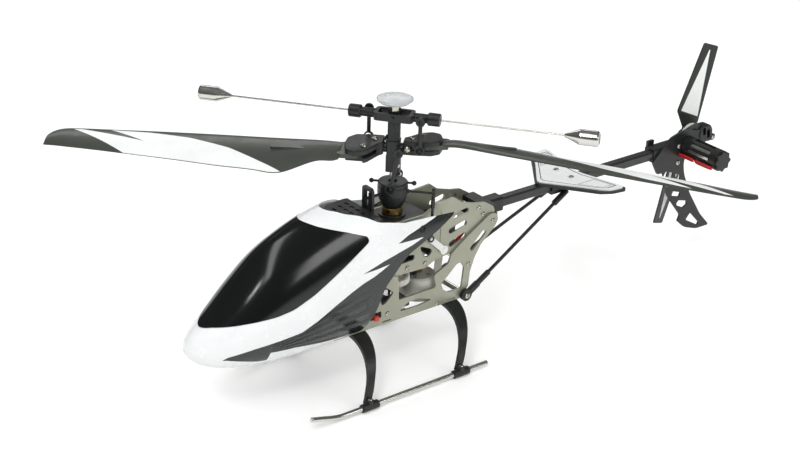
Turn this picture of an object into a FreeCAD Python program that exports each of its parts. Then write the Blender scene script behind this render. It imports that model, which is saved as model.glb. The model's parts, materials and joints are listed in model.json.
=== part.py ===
"""A small remote-control helicopter: metal side-plate frame, two-blade rotor head with a weighted
flybar, clip-on canopy, tube skids and a motor-driven tail rotor.

Millimetres. +Z is up, the nose points to -Y and the left side is +X. The origin is on the main
shaft's axis at ground level, under the skid clamps.
"""
import FreeCAD
import Part
import math
import os
from FreeCAD import Vector

# ---- driving dimensions: frame ----
PLATE_OUT = 15.5          # outer face of the lower side plates
PLATE_T = 1.5
UPPER_OUT = 13.8          # outer face of the upper side plates
UPPER_T = 1.4
FRAME_BOTTOM = 39.5
PLATE_IN = PLATE_OUT - PLATE_T
UPPER_IN = UPPER_OUT - UPPER_T
SCREW_HOLE = 1.0
SHANK = 0.9
HEAD_R = 1.75

# ---- driving dimensions: landing gear ----
TRACK = 92.0
TUBE_R = 1.75
CLAMP_R = 2.9
SKID_REAR = 50.0
SKID_BEND = -74.5
SKID_TIP = Vector(0, -96.0, 8.8)
FRONT_STRUT = (-36.5, -49.5)   # y at the frame, y at the skid
REAR_STRUT = (41.5, 26.8)

# ---- driving dimensions: drive ----
SHAFT_R = 1.5
SHAFT_TOP = 153.5
RUN = 0.04                # running clearance on a radius
GEAR_MODULE = 0.6
MAIN_TEETH = 42
IDLER_TEETH = 14
MOTOR_TEETH = 9
MAIN_GEAR_Z = (61.5, 65.5)
IDLER_Y = GEAR_MODULE * (MAIN_TEETH + IDLER_TEETH) / 2
MOTOR_Y = IDLER_Y + GEAR_MODULE * (IDLER_TEETH + MOTOR_TEETH) / 2
MOTOR_R = 12.4
MOTOR_Z = (43.6, 60.5)

# ---- driving dimensions: rotor head ----
ROTOR_RADIUS = 234.0
BLADE_AZ = 46.0
FLYBAR_AZ = 38.7
FLYBAR_RADIUS = 132.4
HUB_Z = 157.9
FLYBAR_Z = 180.4
SWASH_PIVOT = 124.0
SWASH_ARM_Z = 127.7
SWASH_BALL_Z = 133.6
ARM_REACH = 27.0
SERVO_AXIS = (33.0, 81.0)      # y, z of a servo's output shaft
SERVO_ARM_END = (18.5, 94.5)
GRIP_TILT = 6.0

# ---- driving dimensions: tail ----
BOOM_Z = 95.3
BOOM_W = 7.0
BOOM_FRONT = 80.5
BOOM_REAR = 254.0
TAIL_MODULE = 0.5
TAIL_PINION_TEETH = 10
TAIL_GEAR_TEETH = 44
TAIL_MOTOR = (274.5, 96.3)
TAIL_SHAFT = (TAIL_MOTOR[0] + TAIL_MODULE * (TAIL_PINION_TEETH + TAIL_GEAR_TEETH) / 2, TAIL_MOTOR[1])
TAIL_MOTOR_R = 6.8
FIN_X = (4.4, 5.8)
TAIL_GEAR_X = (-6.5, -4.0)

# ---- driving dimensions: canopy ----
SKIN = 1.2
# y, top height, half width, bottom height, height of the widest line, peakedness of the roof
CANOPY_STATIONS = [
    (-159.5, 60.0, 1.4, 57.4, 58.8, 1.0),
    (-158.5, 62.8, 4.2, 54.8, 58.8, 1.0),
    (-155.0, 67.0, 8.6, 50.3, 58.8, 1.1),
    (-148.0, 73.0, 13.6, 46.0, 60.0, 1.2),
    (-138.0, 81.5, 18.2, 42.6, 62.5, 1.3),
    (-122.0, 97.3, 23.3, 39.8, 67.0, 1.34),
    (-104.0, 112.6, 26.8, 38.2, 71.0, 1.3),
    (-84.0, 122.2, 28.3, 37.5, 75.0, 1.2),
    (-62.0, 128.9, 28.8, 37.5, 80.0, 1.08),
    (-38.0, 132.0, 28.2, 37.5, 85.0, 0.98),
    (-10.0, 130.2, 27.0, 37.5, 90.0, 0.94),
    (20.0, 129.0, 25.4, 37.5, 94.0, 0.92),
    (50.0, 127.5, 24.0, 37.5, 97.0, 0.92),
]
INNER_NOSE = (-156.4, 64.2, 6.2, 53.2, 58.8, 1.0)

PARTS = {}


# ---- helpers ----
def box(x0, x1, y0, y1, z0, z1):
    return Part.makeBox(x1 - x0, y1 - y0, z1 - z0, Vector(x0, y0, z0))


def rod(start, end, radius):
    start, end = Vector(*start), Vector(*end)
    return Part.makeCylinder(radius, (end - start).Length, start, end - start)


def ring(start, end, outer, inner):
    return rod(start, end, outer).cut(rod(start, end, inner))


def ball(centre, radius):
    return Part.makeSphere(radius, Vector(*centre))


def fuse(shapes):
    result = shapes[0]
    if len(shapes) > 1:
        result = shapes[0].multiFuse(shapes[1:])
    return result.removeSplitter()


def mirror_x(shape):
    return shape.mirror(Vector(0, 0, 0), Vector(1, 0, 0))


def turn(shape, angle, centre=(0, 0, 0), axis=(0, 0, 1)):
    result = shape.copy()
    result.rotate(Vector(*centre), Vector(*axis), angle)
    return result


def turned(profile, base, axis):
    """Revolves a closed profile of (radius, height) points about an axis through base."""
    points = [Vector(r, 0, h) for r, h in profile]
    face = Part.Face(Part.makePolygon(points + [points[0]]))
    solid = face.revolve(Vector(0, 0, 0), Vector(0, 0, 1), 360)
    solid.Placement = FreeCAD.Placement(
        Vector(*base), FreeCAD.Rotation(Vector(0, 0, 1), Vector(*axis)))
    return solid


def corner_arc(before, here, after, radius):
    """Start, middle and end of the arc that rounds one corner of an outline."""
    a = (before - here)
    b = (after - here)
    room = 0.49 * min(a.Length, b.Length)
    a.normalize()
    b.normalize()
    half = a.getAngle(b) / 2
    if radius <= 0 or half > math.radians(88):
        return None
    cut = min(radius / math.tan(half), room)
    arc_r = cut * math.tan(half)
    bisector = a + b
    bisector.normalize()
    middle = here + bisector * (arc_r / math.sin(half) - arc_r)
    return here + a * cut, middle, here + b * cut


def outline_face(points, radius=0.0):
    """A face in the XY plane bounded by straight sides with rounded corners."""
    flat = [Vector(p[0], p[1], 0) for p in points]
    radii = [p[2] if len(p) > 2 else radius for p in points]
    count = len(flat)
    arcs = [corner_arc(flat[i - 1], flat[i], flat[(i + 1) % count], radii[i]) for i in range(count)]
    edges = []
    for i in range(count):
        after = (i + 1) % count
        if arcs[i]:
            edges.append(Part.Arc(*arcs[i]).toShape())
        start = arcs[i][2] if arcs[i] else flat[i]
        end = arcs[after][0] if arcs[after] else flat[after]
        if (end - start).Length > 1e-6:
            edges.append(Part.makeLine(start, end))
    return Part.Face(Part.Wire(edges))


def plate_z(points, z0, z1, radius=0.0):
    """Outline of (x, y) points, from height z0 to z1."""
    solid = outline_face(points, radius).extrude(Vector(0, 0, z1 - z0))
    solid.translate(Vector(0, 0, z0))
    return solid


def plate_x(points, x0, x1, radius=0.0):
    """Outline of (y, z) points, from x0 to x1."""
    solid = outline_face(points, radius).extrude(Vector(0, 0, x1 - x0))
    solid.Placement = FreeCAD.Placement(
        Vector(x0, 0, 0), FreeCAD.Rotation(Vector(0, 1, 0), Vector(0, 0, 1), Vector(1, 0, 0), "XZY"))
    return solid


def slot_x(start, end, half, x0, x1):
    """A round-ended slot between two (y, z) points, through x0 to x1."""
    along = Vector(end[0] - start[0], end[1] - start[1], 0)
    along.normalize()
    side = Vector(-along.y, along.x, 0) * half
    a, b = Vector(start[0], start[1], 0), Vector(end[0], end[1], 0)
    corners = [a + side, a - side, b - side, b + side]
    bar = plate_x([(p.x, p.y) for p in corners], x0, x1)
    ends = [rod((x0, p.x, p.y), (x1, p.x, p.y), half) for p in (a, b)]
    return fuse([bar] + ends)


def screw(point, axis, length, head_r=HEAD_R):
    """A domed cross-head screw whose head sits on point and whose shank runs back along the axis."""
    rise = head_r * 0.62
    head = turned([(0, 0), (head_r, 0), (head_r, rise * 0.35), (head_r * 0.86, rise * 0.72),
                   (head_r * 0.5, rise), (0, rise)], (0, 0, 0), (0, 0, 1))
    arm = head_r * 0.62
    blade = head_r * 0.13
    cross = fuse([box(-arm, arm, -blade, blade, rise * 0.4, rise + 1),
                  box(-blade, blade, -arm, arm, rise * 0.4, rise + 1)])
    shank = rod((0, 0, -length), (0, 0, 0.01), SHANK)
    body = fuse([head.cut(cross), shank])
    body.Placement = FreeCAD.Placement(
        Vector(*point), FreeCAD.Rotation(Vector(0, 0, 1), Vector(*axis)))
    return body


def gear(teeth, module, centre, z0, z1, bore, phase):
    """A spur gear about a vertical axis, with one tooth centred at angle phase."""
    pitch_r = module * teeth / 2
    step = 2 * math.pi / teeth
    shape = [(pitch_r - 1.15 * module, 0.33), (pitch_r - 0.1 * module, 0.235),
             (pitch_r + 0.45 * module, 0.16), (pitch_r + 0.82 * module, 0.09)]
    points = []
    for i in range(teeth):
        middle = phase + i * step
        left = [(r, middle - w * step) for r, w in shape]
        right = [(r, middle + w * step) for r, w in reversed(shape)]
        points += [(centre[0] + r * math.cos(a), centre[1] + r * math.sin(a)) for r, a in left + right]
    blank = plate_z(points, z0, z1)
    return blank.cut(rod((centre[0], centre[1], z0 - 1), (centre[0], centre[1], z1 + 1), bore))


def bar_loft(sections):
    """A loft through rectangular sections, each given by its four corners."""
    wires = [Part.makePolygon([Vector(*p) for p in corners] + [Vector(*corners[0])])
             for corners in sections]
    return Part.makeLoft(wires, True, False)


# ---- frame ----
LOWER_OUTLINE = [
    (-62, FRAME_BOTTOM + 1, 2), (-56, FRAME_BOTTOM, 2), (49.5, FRAME_BOTTOM, 3), (55.8, 47.3, 3),
    (56.9, 58.1, 8),
    (60.5, 68.0, 14), (65.9, 76.7, 14), (77.5, 86.8, 5), (80.0, 91.4, 4), (78.8, 96.6, 4),
    (72.5, 97.0, 3), (52.0, 84.6, 12), (40.0, 76.0, 4), (37.8, 69.4, 5), (24.9, 63.7, 3),
    (27.9, 54.0, 2), (-4.0, 54.0, 1), (-5.3, 71.8, 1.5), (-17.3, 76.0, 3), (-23.9, 71.5, 2),
    (-27.2, 64.6, 1), (-26.8, 56.0, 1), (-58.0, 55.0, 3), (-62.0, 51.0, 3),
]
TRIANGLE_HOLE = [(-17.0, 68.3), (-8.5, 61.0), (-14.9, 55.0), (-18.2, 53.7), (-20.5, 60.7)]
BOOT_HOLE = [(31.8, 55.9), (36.7, 59.5), (44.7, 66.7), (48.4, 67.4), (51.6, 62.5), (49.9, 46.9),
             (38.1, 47.4), (33.8, 50.2)]
ARCH_HOLE = [(-3.8, 44.9, 0.6), (3.0, 49.6, 8), (12.0, 50.6, 10), (25.2, 45.9, 0.6), (12, 44.6, 0)]
LOWER_SCREWS = [(-31.2, 47.0), (-13.4, 46.6), (29.2, 41.4), (55.0, 64.0), (75.3, 91.4)]
BRACE_FOOT = (52.6, 41.8)
UPPER_OUTLINE = [
    (-26.0, 76.5, 2), (-4.0, 71.5, 4), (19.0, 70.8, 3), (28.0, 74.7, 3), (38.0, 75.5, 3),
    (52.0, 79.5, 4), (64.0, 88.0, 4), (78.5, 96.5, 3), (76.5, 101.5, 4), (68.5, 106.6, 6),
    (60.0, 108.0, 5), (48.5, 111.5, 6), (41.5, 117.0, 3), (27.0, 116.0, 3), (16.0, 110.5, 4),
    (-20.0, 110.5, 3), (-26.0, 100.0, 6),
]
UPPER_SLOTS = [((43.5, 102.6), (52.5, 104.4)), ((40.0, 92.6), (51.5, 95.2)), ((40.5, 82.6), (51.0, 86.2))]
UPPER_SCREWS = [(3.5, 75.1), (18.3, 74.3), (63.4, 103.4)]
D_HOLE = [(13.2, 88.5, 1), (17.0, 79.4, 3), (21.5, 78.4, 3), (25.0, 83.0, 3)]
WEDGE_HOLE = [(-9.5, 79.0, 0.8), (9.0, 79.6, 1.6), (9.4, 83.4, 1.6), (4.0, 84.2, 1.5)]
SPACER_R = 2.0
REAR_SPACER = (67.5, 97.8)


def lower_plate():
    plate = plate_x(LOWER_OUTLINE, PLATE_IN, PLATE_OUT)
    holes = [plate_x(TRIANGLE_HOLE, 10, 20, 1.6), plate_x(BOOT_HOLE, 10, 20, 2.0),
             plate_x(ARCH_HOLE, 10, 20), slot_x((57.9, 75.2), (67.6, 84.6), 1.8, 10, 20),
             plate_x([(-17.8, 40.8), (-10.4, 40.8), (-10.4, 41.9), (-17.8, 41.9)], 10, 20),
             plate_x([(36.9, 40.6), (44.2, 40.6), (44.2, 41.7), (36.9, 41.7)], 10, 20),
             plate_x([(-29.4, 45.2), (-18.6, 45.2), (-18.6, 50.0), (-29.4, 50.0)], 10, 20, 0.6)]
    holes += [rod((10, y, z), (20, y, z), SCREW_HOLE) for y, z in LOWER_SCREWS + [BRACE_FOOT]]
    return plate.cut(fuse(holes))


def upper_plate():
    """One upper plate. Its lower edge is folded inwards as a shelf over the motor."""
    plate = plate_x(UPPER_OUTLINE, UPPER_IN, UPPER_OUT)
    shelf = box(UPPER_IN - 3.2, UPPER_IN + 0.2, -2.5, 17.5, 71.9, 72.9)
    holes = [slot_x(a, b, 2.1, 8, 20) for a, b in UPPER_SLOTS]
    holes += [plate_x(D_HOLE, 8, 20), plate_x(WEDGE_HOLE, 8, 20)]
    holes += [rod((12, y, z), (20, y, z), SCREW_HOLE) for y, z in UPPER_SCREWS]
    holes.append(rod((8, *SERVO_AXIS), (20, *SERVO_AXIS), 3.0))
    holes.append(rod((8, *REAR_SPACER), (20, *REAR_SPACER), SCREW_HOLE))
    fold = box(UPPER_OUT - 0.5, UPPER_OUT + 1, 30.4, 30.9, 86.5, 110.0)
    return fuse([plate, shelf]).cut(fuse(holes + [fold]))


def make_frame():
    PARTS["frame_plate_left"] = lower_plate()
    PARTS["frame_plate_right"] = mirror_x(lower_plate())
    PARTS["servo_plates"] = Part.makeCompound([upper_plate(), mirror_x(upper_plate())])
    spacers = [ring((-PLATE_IN, y, z), (PLATE_IN, y, z), SPACER_R, SCREW_HOLE)
               for y, z in LOWER_SCREWS[:4]]
    spacers.append(ring((-PLATE_IN, *BRACE_FOOT), (PLATE_IN, *BRACE_FOOT), SPACER_R, SCREW_HOLE))
    spacers.append(ring((-UPPER_IN, *REAR_SPACER), (UPPER_IN, *REAR_SPACER), SPACER_R, SCREW_HOLE))
    posts = [ring((UPPER_OUT, y, z), (UPPER_OUT + 5.4, y, z), 2.2, SCREW_HOLE)
             for y, z in [CANOPY_POST]]
    spacers += posts + [mirror_x(p) for p in posts]
    PARTS["frame_spacers"] = Part.makeCompound(spacers)


# ---- bearings, shaft supports and drive ----
CANOPY_POST = (8.0, 104.0)
UPPER_BLOCK = (104.0, 110.4)
MID_BLOCK = (73.2, 76.2)
LOWER_BLOCK = (46.5, 51.5)
BEARING_R = 5.0
BEARING_BORE = SHAFT_R + RUN


def bearing_seat(z0, z1):
    return rod((0, 0, z0), (0, 0, z1), BEARING_R)


def make_bearings():
    upper = plate_z([(-12.3, -17), (12.3, -17), (12.3, 20), (-12.3, 20)], *UPPER_BLOCK, 2.5)
    upper = fuse([upper, rod((0, 0, 110), (0, 0, 111.6), 9.0)])
    upper = upper.cut(bearing_seat(107.4, 111.6)).cut(rod((0, 0, 100), (0, 0, 120), 2.4))
    middle = box(-9.0, 9.0, -8.0, 20.0, *MID_BLOCK).cut(rod((0, 0, 60), (0, 0, 80), 2.4))
    ears = [box(s * 9.0 - 3.4 * (s < 0), s * 9.0 + 3.4 * (s > 0), -2.0, 17.0, 73.2, 76.2) for s in (-1, 1)]
    screw_line = fuse([rod((-20, y, z), (20, y, z), SCREW_HOLE) for y, z in UPPER_SCREWS[:2]])
    axle = rod((0, IDLER_Y, 61.3), (0, IDLER_Y, 74), 1.0)
    middle = fuse([middle.fuse(ears).cut(screw_line), axle])
    lower = box(-PLATE_IN, PLATE_IN, -9.0, 6.0, *LOWER_BLOCK)
    lower = lower.cut(bearing_seat(48.5, 51.5)).cut(rod((0, 0, 40), (0, 0, 60), 2.4))
    lower = lower.cut(rod((-20, *LOWER_SCREWS[1]), (20, *LOWER_SCREWS[1]), SPACER_R + 0.1))
    PARTS["bearing_blocks"] = Part.makeCompound([upper, middle, lower])
    PARTS["mast_bearings"] = Part.makeCompound([
        ring((0, 0, 107.4), (0, 0, 111.4), BEARING_R, BEARING_BORE),
        ring((0, 0, 48.5), (0, 0, 51.4), BEARING_R, BEARING_BORE)])


def make_drive():
    aft = math.pi / 2
    main = gear(MAIN_TEETH, GEAR_MODULE, (0, 0), *MAIN_GEAR_Z, SHAFT_R, aft)
    web = ring((0, 0, MAIN_GEAR_Z[0] + 1.2), (0, 0, MAIN_GEAR_Z[1] - 1.2), 10.6, 5.4)
    windows = fuse([rod((8 * math.cos(a), 8 * math.sin(a), 60), (8 * math.cos(a), 8 * math.sin(a), 70), 1.7)
                    for a in [k * math.pi / 3 for k in range(6)]])
    recess = ring((0, 0, 60), (0, 0, MAIN_GEAR_Z[0] + 1.2), 10.6, 5.4)
    recess_top = ring((0, 0, MAIN_GEAR_Z[1] - 1.2), (0, 0, 70), 10.6, 5.4)
    main = main.cut(recess).cut(recess_top).fuse(web).cut(windows)
    hub = ring((0, 0, MAIN_GEAR_Z[0] - 3), (0, 0, MAIN_GEAR_Z[1] + 3), 4.6, SHAFT_R)
    PARTS["main_gear"] = fuse([main, hub])
    PARTS["idler_gear"] = gear(IDLER_TEETH, GEAR_MODULE, (0, IDLER_Y), *MAIN_GEAR_Z, 1.0 + RUN,
                               math.pi / IDLER_TEETH - aft)
    pinion = gear(MOTOR_TEETH, GEAR_MODULE, (0, MOTOR_Y), *MAIN_GEAR_Z, 0.95, -aft)
    PARTS["motor_pinion"] = fuse([pinion, rod((0, MOTOR_Y, 50), (0, MOTOR_Y, 66.2), 0.96)])
    PARTS["main_motor"] = main_motor()
    shaft = rod((0, 0, 45.0), (0, 0, SHAFT_TOP), SHAFT_R)
    PARTS["main_shaft"] = shaft.makeChamfer(0.3, [e for e in shaft.Edges if e.Length > 5 and
                                                  len(e.Vertexes) == 1])
    collar = turned([(SHAFT_R, 112.0), (6.4, 112.0), (6.8, 112.4), (6.8, 116.2), (6.4, 116.6),
                     (SHAFT_R, 116.6)], (0, 0, 0), (0, 0, 1))
    PARTS["shaft_collar"] = collar.cut(turn(rod((0, 0, 114.3), (20, 0, 114.3), 1.25), -60))


def main_motor():
    low, high = MOTOR_Z
    can = turned([(0, low), (MOTOR_R - 0.6, low), (MOTOR_R, low + 0.6), (MOTOR_R, high - 1.2),
                  (MOTOR_R - 1.2, high), (0, high)], (0, MOTOR_Y, 0), (0, 0, 1))
    vents = []
    for k in range(4):
        a = math.radians(30 + 90 * k)
        centre = (7.6 * math.cos(a), MOTOR_Y + 7.6 * math.sin(a), high - 1.4)
        vents.append(rod(centre, (centre[0], centre[1], high + 1), 1.9))
    boss = rod((0, MOTOR_Y, high - 0.1), (0, MOTOR_Y, high + 0.6), 3.0)
    bore = rod((0, MOTOR_Y, 49.5), (0, MOTOR_Y, high + 1), 0.96 + RUN)
    return fuse([can, boss]).cut(fuse(vents)).cut(bore)


# ---- electrics ----
def make_electrics():
    floor = box(-13.2, 13.2, -110, -18, 42.2, 43.4)
    rails = [box(x, x + 1.0, -110, -62, 43.3, 48) for x in (-13.2, 12.2)]
    PARTS["battery_tray"] = fuse([floor] + rails)
    pack = box(-12.0, 12.0, -108, -60, 43.6, 64.0)
    PARTS["battery_pack"] = pack.makeFillet(2.0, [e for e in pack.Edges if e.Length > 30])
    board = box(-11.0, 6.0, -56, -35, 45.0, 46.4)
    chips = [box(-8, 0, -52, -44, 46.3, 48.4), box(-6, 3, -42, -38, 46.3, 49.6),
             box(2, 5, -54, -46, 46.3, 51.0)]
    feet = [box(x, x + 2, y, y + 2, 43.4, 45.1) for x in (-10, 3) for y in (-55, -38)]
    PARTS["receiver_board"] = fuse([board] + chips + feet)
    body = box(9.4, PLATE_IN, -29.0, -18.5, 45.4, 49.8)
    channel = box(11.6, 16, -28.0, -20.6, 46.0, 48.6)
    PARTS["switch_body"] = body.cut(channel)
    knob = box(12.0, PLATE_OUT + 0.4, -25.8, -23.0, 46.2, 48.4)
    cap = box(PLATE_OUT + 0.3, PLATE_OUT + 3.4, -26.3, -22.7, 45.7, 48.9)
    cap = cap.makeFillet(0.7, [e for e in cap.Edges if abs(e.Length - 3.1) < 0.01])
    PARTS["switch_knob"] = fuse([knob, cap])


def wire_run(points, radius):
    """A round wire along a smooth curve through the points."""
    curve = Part.BSplineCurve()
    curve.interpolate([Vector(*p) for p in points])
    path = Part.Wire(curve.toShape())
    start = curve.value(curve.FirstParameter)
    direction = curve.tangent(curve.FirstParameter)[0]
    circle = Part.Wire(Part.Circle(start, direction, radius).toShape())
    return path.makePipeShell([circle], True, True)


def make_wiring():
    wires = []
    for i, x in enumerate((8.2, 9.8)):
        inlet = 1.8 * i - 0.9
        wires.append(wire_run([(x, 45.6, 80.5), (x + 0.6, 50, 82.5), (x - 1, 56, 87),
                               (x * 0.3, 63, 90.4 + i * 2), (inlet, 69.5, 93.2), (inlet, 74.0, 94.2)], 0.65))
    wires.append(wire_run([(-3, -59.8, 58), (-3, -56, 57), (-4, -50, 53), (-4, -48.3, 48.6)], 0.8))
    y, z = TAIL_MOTOR
    for lean in (24, 35):
        front = -9.65 * math.cos(math.radians(lean))
        down = -9.65 * math.sin(math.radians(lean))
        wires.append(wire_run([(x, y + front * bow, z + down * bow) for x, bow in
                               ((6.3, 1.02), (14, 1.0), (26, 1.01), (37.5, 0.97))], 0.9))
    PARTS["wiring"] = Part.makeCompound(wires)


# ---- servos and control links ----
def servo_body(side):
    y, z = SERVO_AXIS
    case = box(0.6, 12.0, 24.0, 45.2, 76.6, 99.0)
    case = case.makeFillet(0.6, [e for e in case.Edges if e.Length > 11.3])
    boss = rod((11.9, y, z), (14.1, y, z), 2.7)
    servo = fuse([case, boss]).cut(rod((11.0, y, z), (16, y, z), 1.1 + RUN))
    return servo if side > 0 else mirror_x(servo)


def servo_arm(side):
    """A white control arm with a ball at its end, on a shaft stub that turns in the servo."""
    hub, end = SERVO_AXIS, SERVO_ARM_END
    x0, x1 = 14.3, 16.1
    bar = slot_x(hub, end, 2.1, x0, x1)
    arm = fuse([bar, rod((x0, *hub), (x1, *hub), 3.1), rod((11.2, *hub), (x0 + 0.1, *hub), 1.1),
                rod((x1 - 0.1, *hub), (x1 + 0.7, *hub), 1.7),
                rod((x1 - 0.1, *end), (18.6, *end), 0.7), ball((18.9, *end), 1.3)])
    return arm if side > 0 else mirror_x(arm)


def arm_end():
    """The ball on the swashplate arm that a pushrod drives."""
    reach = ARM_REACH / math.sqrt(2)
    return reach, reach, SWASH_ARM_Z


def pushrod(side):
    low = Vector(18.9, *SERVO_ARM_END)
    high = Vector(*arm_end())
    across = Vector(1, 0, 0)
    out = Vector(1, 1, 0).normalize()
    eye_low = ring(low - across * 0.9, low + across * 0.9, 2.4, 1.3 + 0.06)
    eye_high = ring(high - out * 0.9, high + out * 0.9, 3.3, 2.3)
    link = rod(low + Vector(0, 0, 2.1), high - Vector(0, 0, 3.0), 0.9)
    reach = high - low
    sleeves = [rod(low + reach * a, low + reach * b, 1.4) for a, b in ((0.08, 0.3), (0.68, 0.88))]
    result = fuse([eye_low, eye_high, link] + sleeves)
    return result if side > 0 else mirror_x(result)


def make_servos():
    PARTS["servos"] = Part.makeCompound([servo_body(1), servo_body(-1)])
    PARTS["servo_arm_left"] = servo_arm(1)
    PARTS["servo_arm_right"] = servo_arm(-1)
    PARTS["pushrod_left"] = pushrod(1)
    PARTS["pushrod_right"] = pushrod(-1)
    bracket = plate_z([(-5.6, -21.2), (5.6, -21.2), (5.6, -17.6), (-5.6, -17.6)], 108.6, 111.6, 0.6)
    wall = box(-5.6, 5.6, -20.8, -19.0, 111.4, 135.0)
    corners = [e for e in wall.Edges if abs(e.Length - 1.8) < 0.01 and e.BoundBox.ZMin > 130]
    wall = wall.makeFillet(2.6, corners)
    slot = plate_z([(-2.0, -24), (2.0, -24), (2.0, -16), (-2.0, -16)], 122.4, 132.4)
    rails = [box(s * 2.9 - 0.5, s * 2.9 + 0.5, -21.6, -20.7, 111.4, 132.0) for s in (-1, 1)]
    PARTS["anti_rotation_bracket"] = fuse([bracket, wall.cut(slot)] + rails)


# ---- swashplate ----
def polar(radius, angle, z):
    a = math.radians(angle)
    return Vector(radius * math.cos(a), radius * math.sin(a), z)


def ball_stud(start_r, end_r, angle, z, stem, ball_r):
    return fuse([rod(polar(start_r, angle, z), polar(end_r, angle, z), stem),
                 ball(polar(end_r, angle, z), ball_r)])


def make_swash():
    centre = (0, 0, SWASH_PIVOT)
    core = ball(centre, 4.8).common(box(-6, 6, -6, 6, SWASH_PIVOT - 3.9, SWASH_PIVOT + 3.9))
    PARTS["swash_ball"] = core.cut(rod((0, 0, 110), (0, 0, 140), 2.15))
    bowl = turned([(0, 117.4), (6.2, 117.4), (7.4, 118.2), (9.4, 123.0), (10.1, 126.0), (10.1, 131.2),
                   (0, 131.2)], (0, 0, 0), (0, 0, 1))
    bowl = bowl.cut(ball(centre, 4.8 + RUN)).cut(rod((0, 0, 110), (0, 0, 124), 3.4))
    bowl = bowl.cut(rod((0, 0, 124), (0, 0, 128.2), 4.6)).cut(rod((0, 0, 128.2), (0, 0, 140), 7.2))
    arms = [ball_stud(9.0, ARM_REACH, a, SWASH_ARM_Z, 0.8, 1.3) for a in (45, 135)]
    arms += [rod(polar(9.0, a, SWASH_ARM_Z), polar(11.0, a, SWASH_ARM_Z), 1.5) for a in (45, 135)]
    guide = rod((0, -9.0, SWASH_ARM_Z - 0.6), (0, -22.6, SWASH_ARM_Z - 0.6), 1.0)
    PARTS["swash_lower"] = fuse([bowl, guide] + arms)
    plate = turned([(3.0, 131.5), (9.9, 131.5), (9.9, 133.9), (9.3, 134.5), (3.0, 134.5)],
                   (0, 0, 0), (0, 0, 1))
    sleeve = ring((0, 0, 128.6), (0, 0, 131.6), 7.2 - RUN, 5.6)
    studs = [ball_stud(9.2, 14.1, BLADE_AZ + a, SWASH_BALL_Z, 0.75, 1.6) for a in (0, 180)]
    studs += [ball_stud(9.2, LINK_LEAD, BLADE_AZ + a, SWASH_BALL_Z, 0.75, 1.2) for a in (-90, 90)]
    PARTS["swash_upper"] = fuse([plate, sleeve] + studs)


# ---- rotor head, built along +X and turned to the blades' direction ----
LINK_LEAD = 12.4
LINK_TOP = Vector(4.6, -LINK_LEAD, 158.8)
LINK_BOTTOM = Vector(0.0, -LINK_LEAD, SWASH_BALL_Z)
COLUMN = 4.0


def half_turn(shape):
    return turn(shape, 180)


def to_blades(shape):
    return turn(shape, BLADE_AZ)


def to_flybar(shape):
    return turn(shape, FLYBAR_AZ)


def hub_block():
    """The head block clamped on the shaft, with the column that carries the flybar seesaw."""
    lower = plate_z([(-4.8, -4.3), (4.8, -4.3), (4.8, 4.3), (-4.8, 4.3)], 142.0, 153.0, 1.2)
    middle = plate_z([(-4.4, -4.6), (4.4, -4.6), (4.4, 4.6), (-4.4, 4.6)], 152.9, 163.4, 1.0)
    column = plate_z([(-COLUMN, -3.6), (COLUMN, -3.6), (COLUMN, 3.6), (-COLUMN, 3.6)], 163.3, 176.6, 1.0)
    ribs = [box(x - 0.35, x + 0.35, -4.1, 4.1, 164.2, 175.6) for x in (-2.7, 0, 2.7)]
    boss = box(2.6, 6.0, -6.6, -4.4, 156.9, 160.7)
    stud = fuse([rod(Vector(LINK_TOP.x, -6.5, LINK_TOP.z), LINK_TOP, 0.8), ball(LINK_TOP, 1.3)])
    arm = fuse([boss, stud])
    block = fuse([lower, middle, column, arm, half_turn(arm)] + ribs)
    return block.cut(rod((-9, 0, HUB_Z), (9, 0, HUB_Z), 1.6 + RUN))


def seesaw_post():
    """The top of the column: hinge pins for the seesaw, and a slot that the flybar rod passes."""
    post = plate_z([(-3.6, -3.4), (3.6, -3.4), (3.6, 3.4), (-3.6, 3.4)], 176.5, 184.2, 1.0)
    post = post.cut(box(-5, 5, -1.2, 1.2, FLYBAR_Z - 1.3, FLYBAR_Z + 1.3))
    pins = [rod((0, s * 3.3, FLYBAR_Z), (0, s * 7.3, FLYBAR_Z), 1.0) for s in (-1, 1)]
    return fuse([post] + pins)


def swash_link():
    """A long link between a swashplate ball and the head, with a ring at each end."""
    out = Vector(0, 0.9, 0)
    top = ring(LINK_TOP - out, LINK_TOP + out, 2.9, 1.3 + 0.06)
    bottom = ring(LINK_BOTTOM - out, LINK_BOTTOM + out, 3.65, 3.05)
    along = (LINK_TOP - LINK_BOTTOM).normalize()
    bar = rod(LINK_BOTTOM + along * 3.4, LINK_TOP - along * 2.2, 1.3)
    return fuse([top, bottom, bar])


def make_hub():
    block = fuse([to_blades(hub_block()), to_flybar(seesaw_post())])
    shaft_hole = rod((0, 0, 140), (0, 0, SHAFT_TOP), SHAFT_R)
    PARTS["rotor_hub"] = block.cut(shaft_hole)
    links = [swash_link(), half_turn(swash_link())]
    PARTS["swash_links"] = Part.makeCompound([to_blades(s) for s in links])
    heads = []
    for s in (-1, 1):
        heads.append(screw((-3.0 * s, 4.3 * s, 147.2), (0, s, 0), 0.0, 1.9))
    nut = plate_z([(4.1 * math.cos(math.radians(60 * k)), 4.1 * math.sin(math.radians(60 * k)))
                   for k in range(6)], 184.2, 187.6)
    heads = [to_blades(h) for h in heads] + [nut]
    PARTS["head_fasteners"] = Part.makeCompound(heads)
    PARTS["top_disc"] = turned([(0, 187.7), (3.4, 187.7), (9.8, 189.6), (11.9, 191.2), (11.9, 191.9),
                                (10.6, 192.4), (5.0, 193.1), (0, 193.3)], (0, 0, 0), (0, 0, 1))


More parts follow.
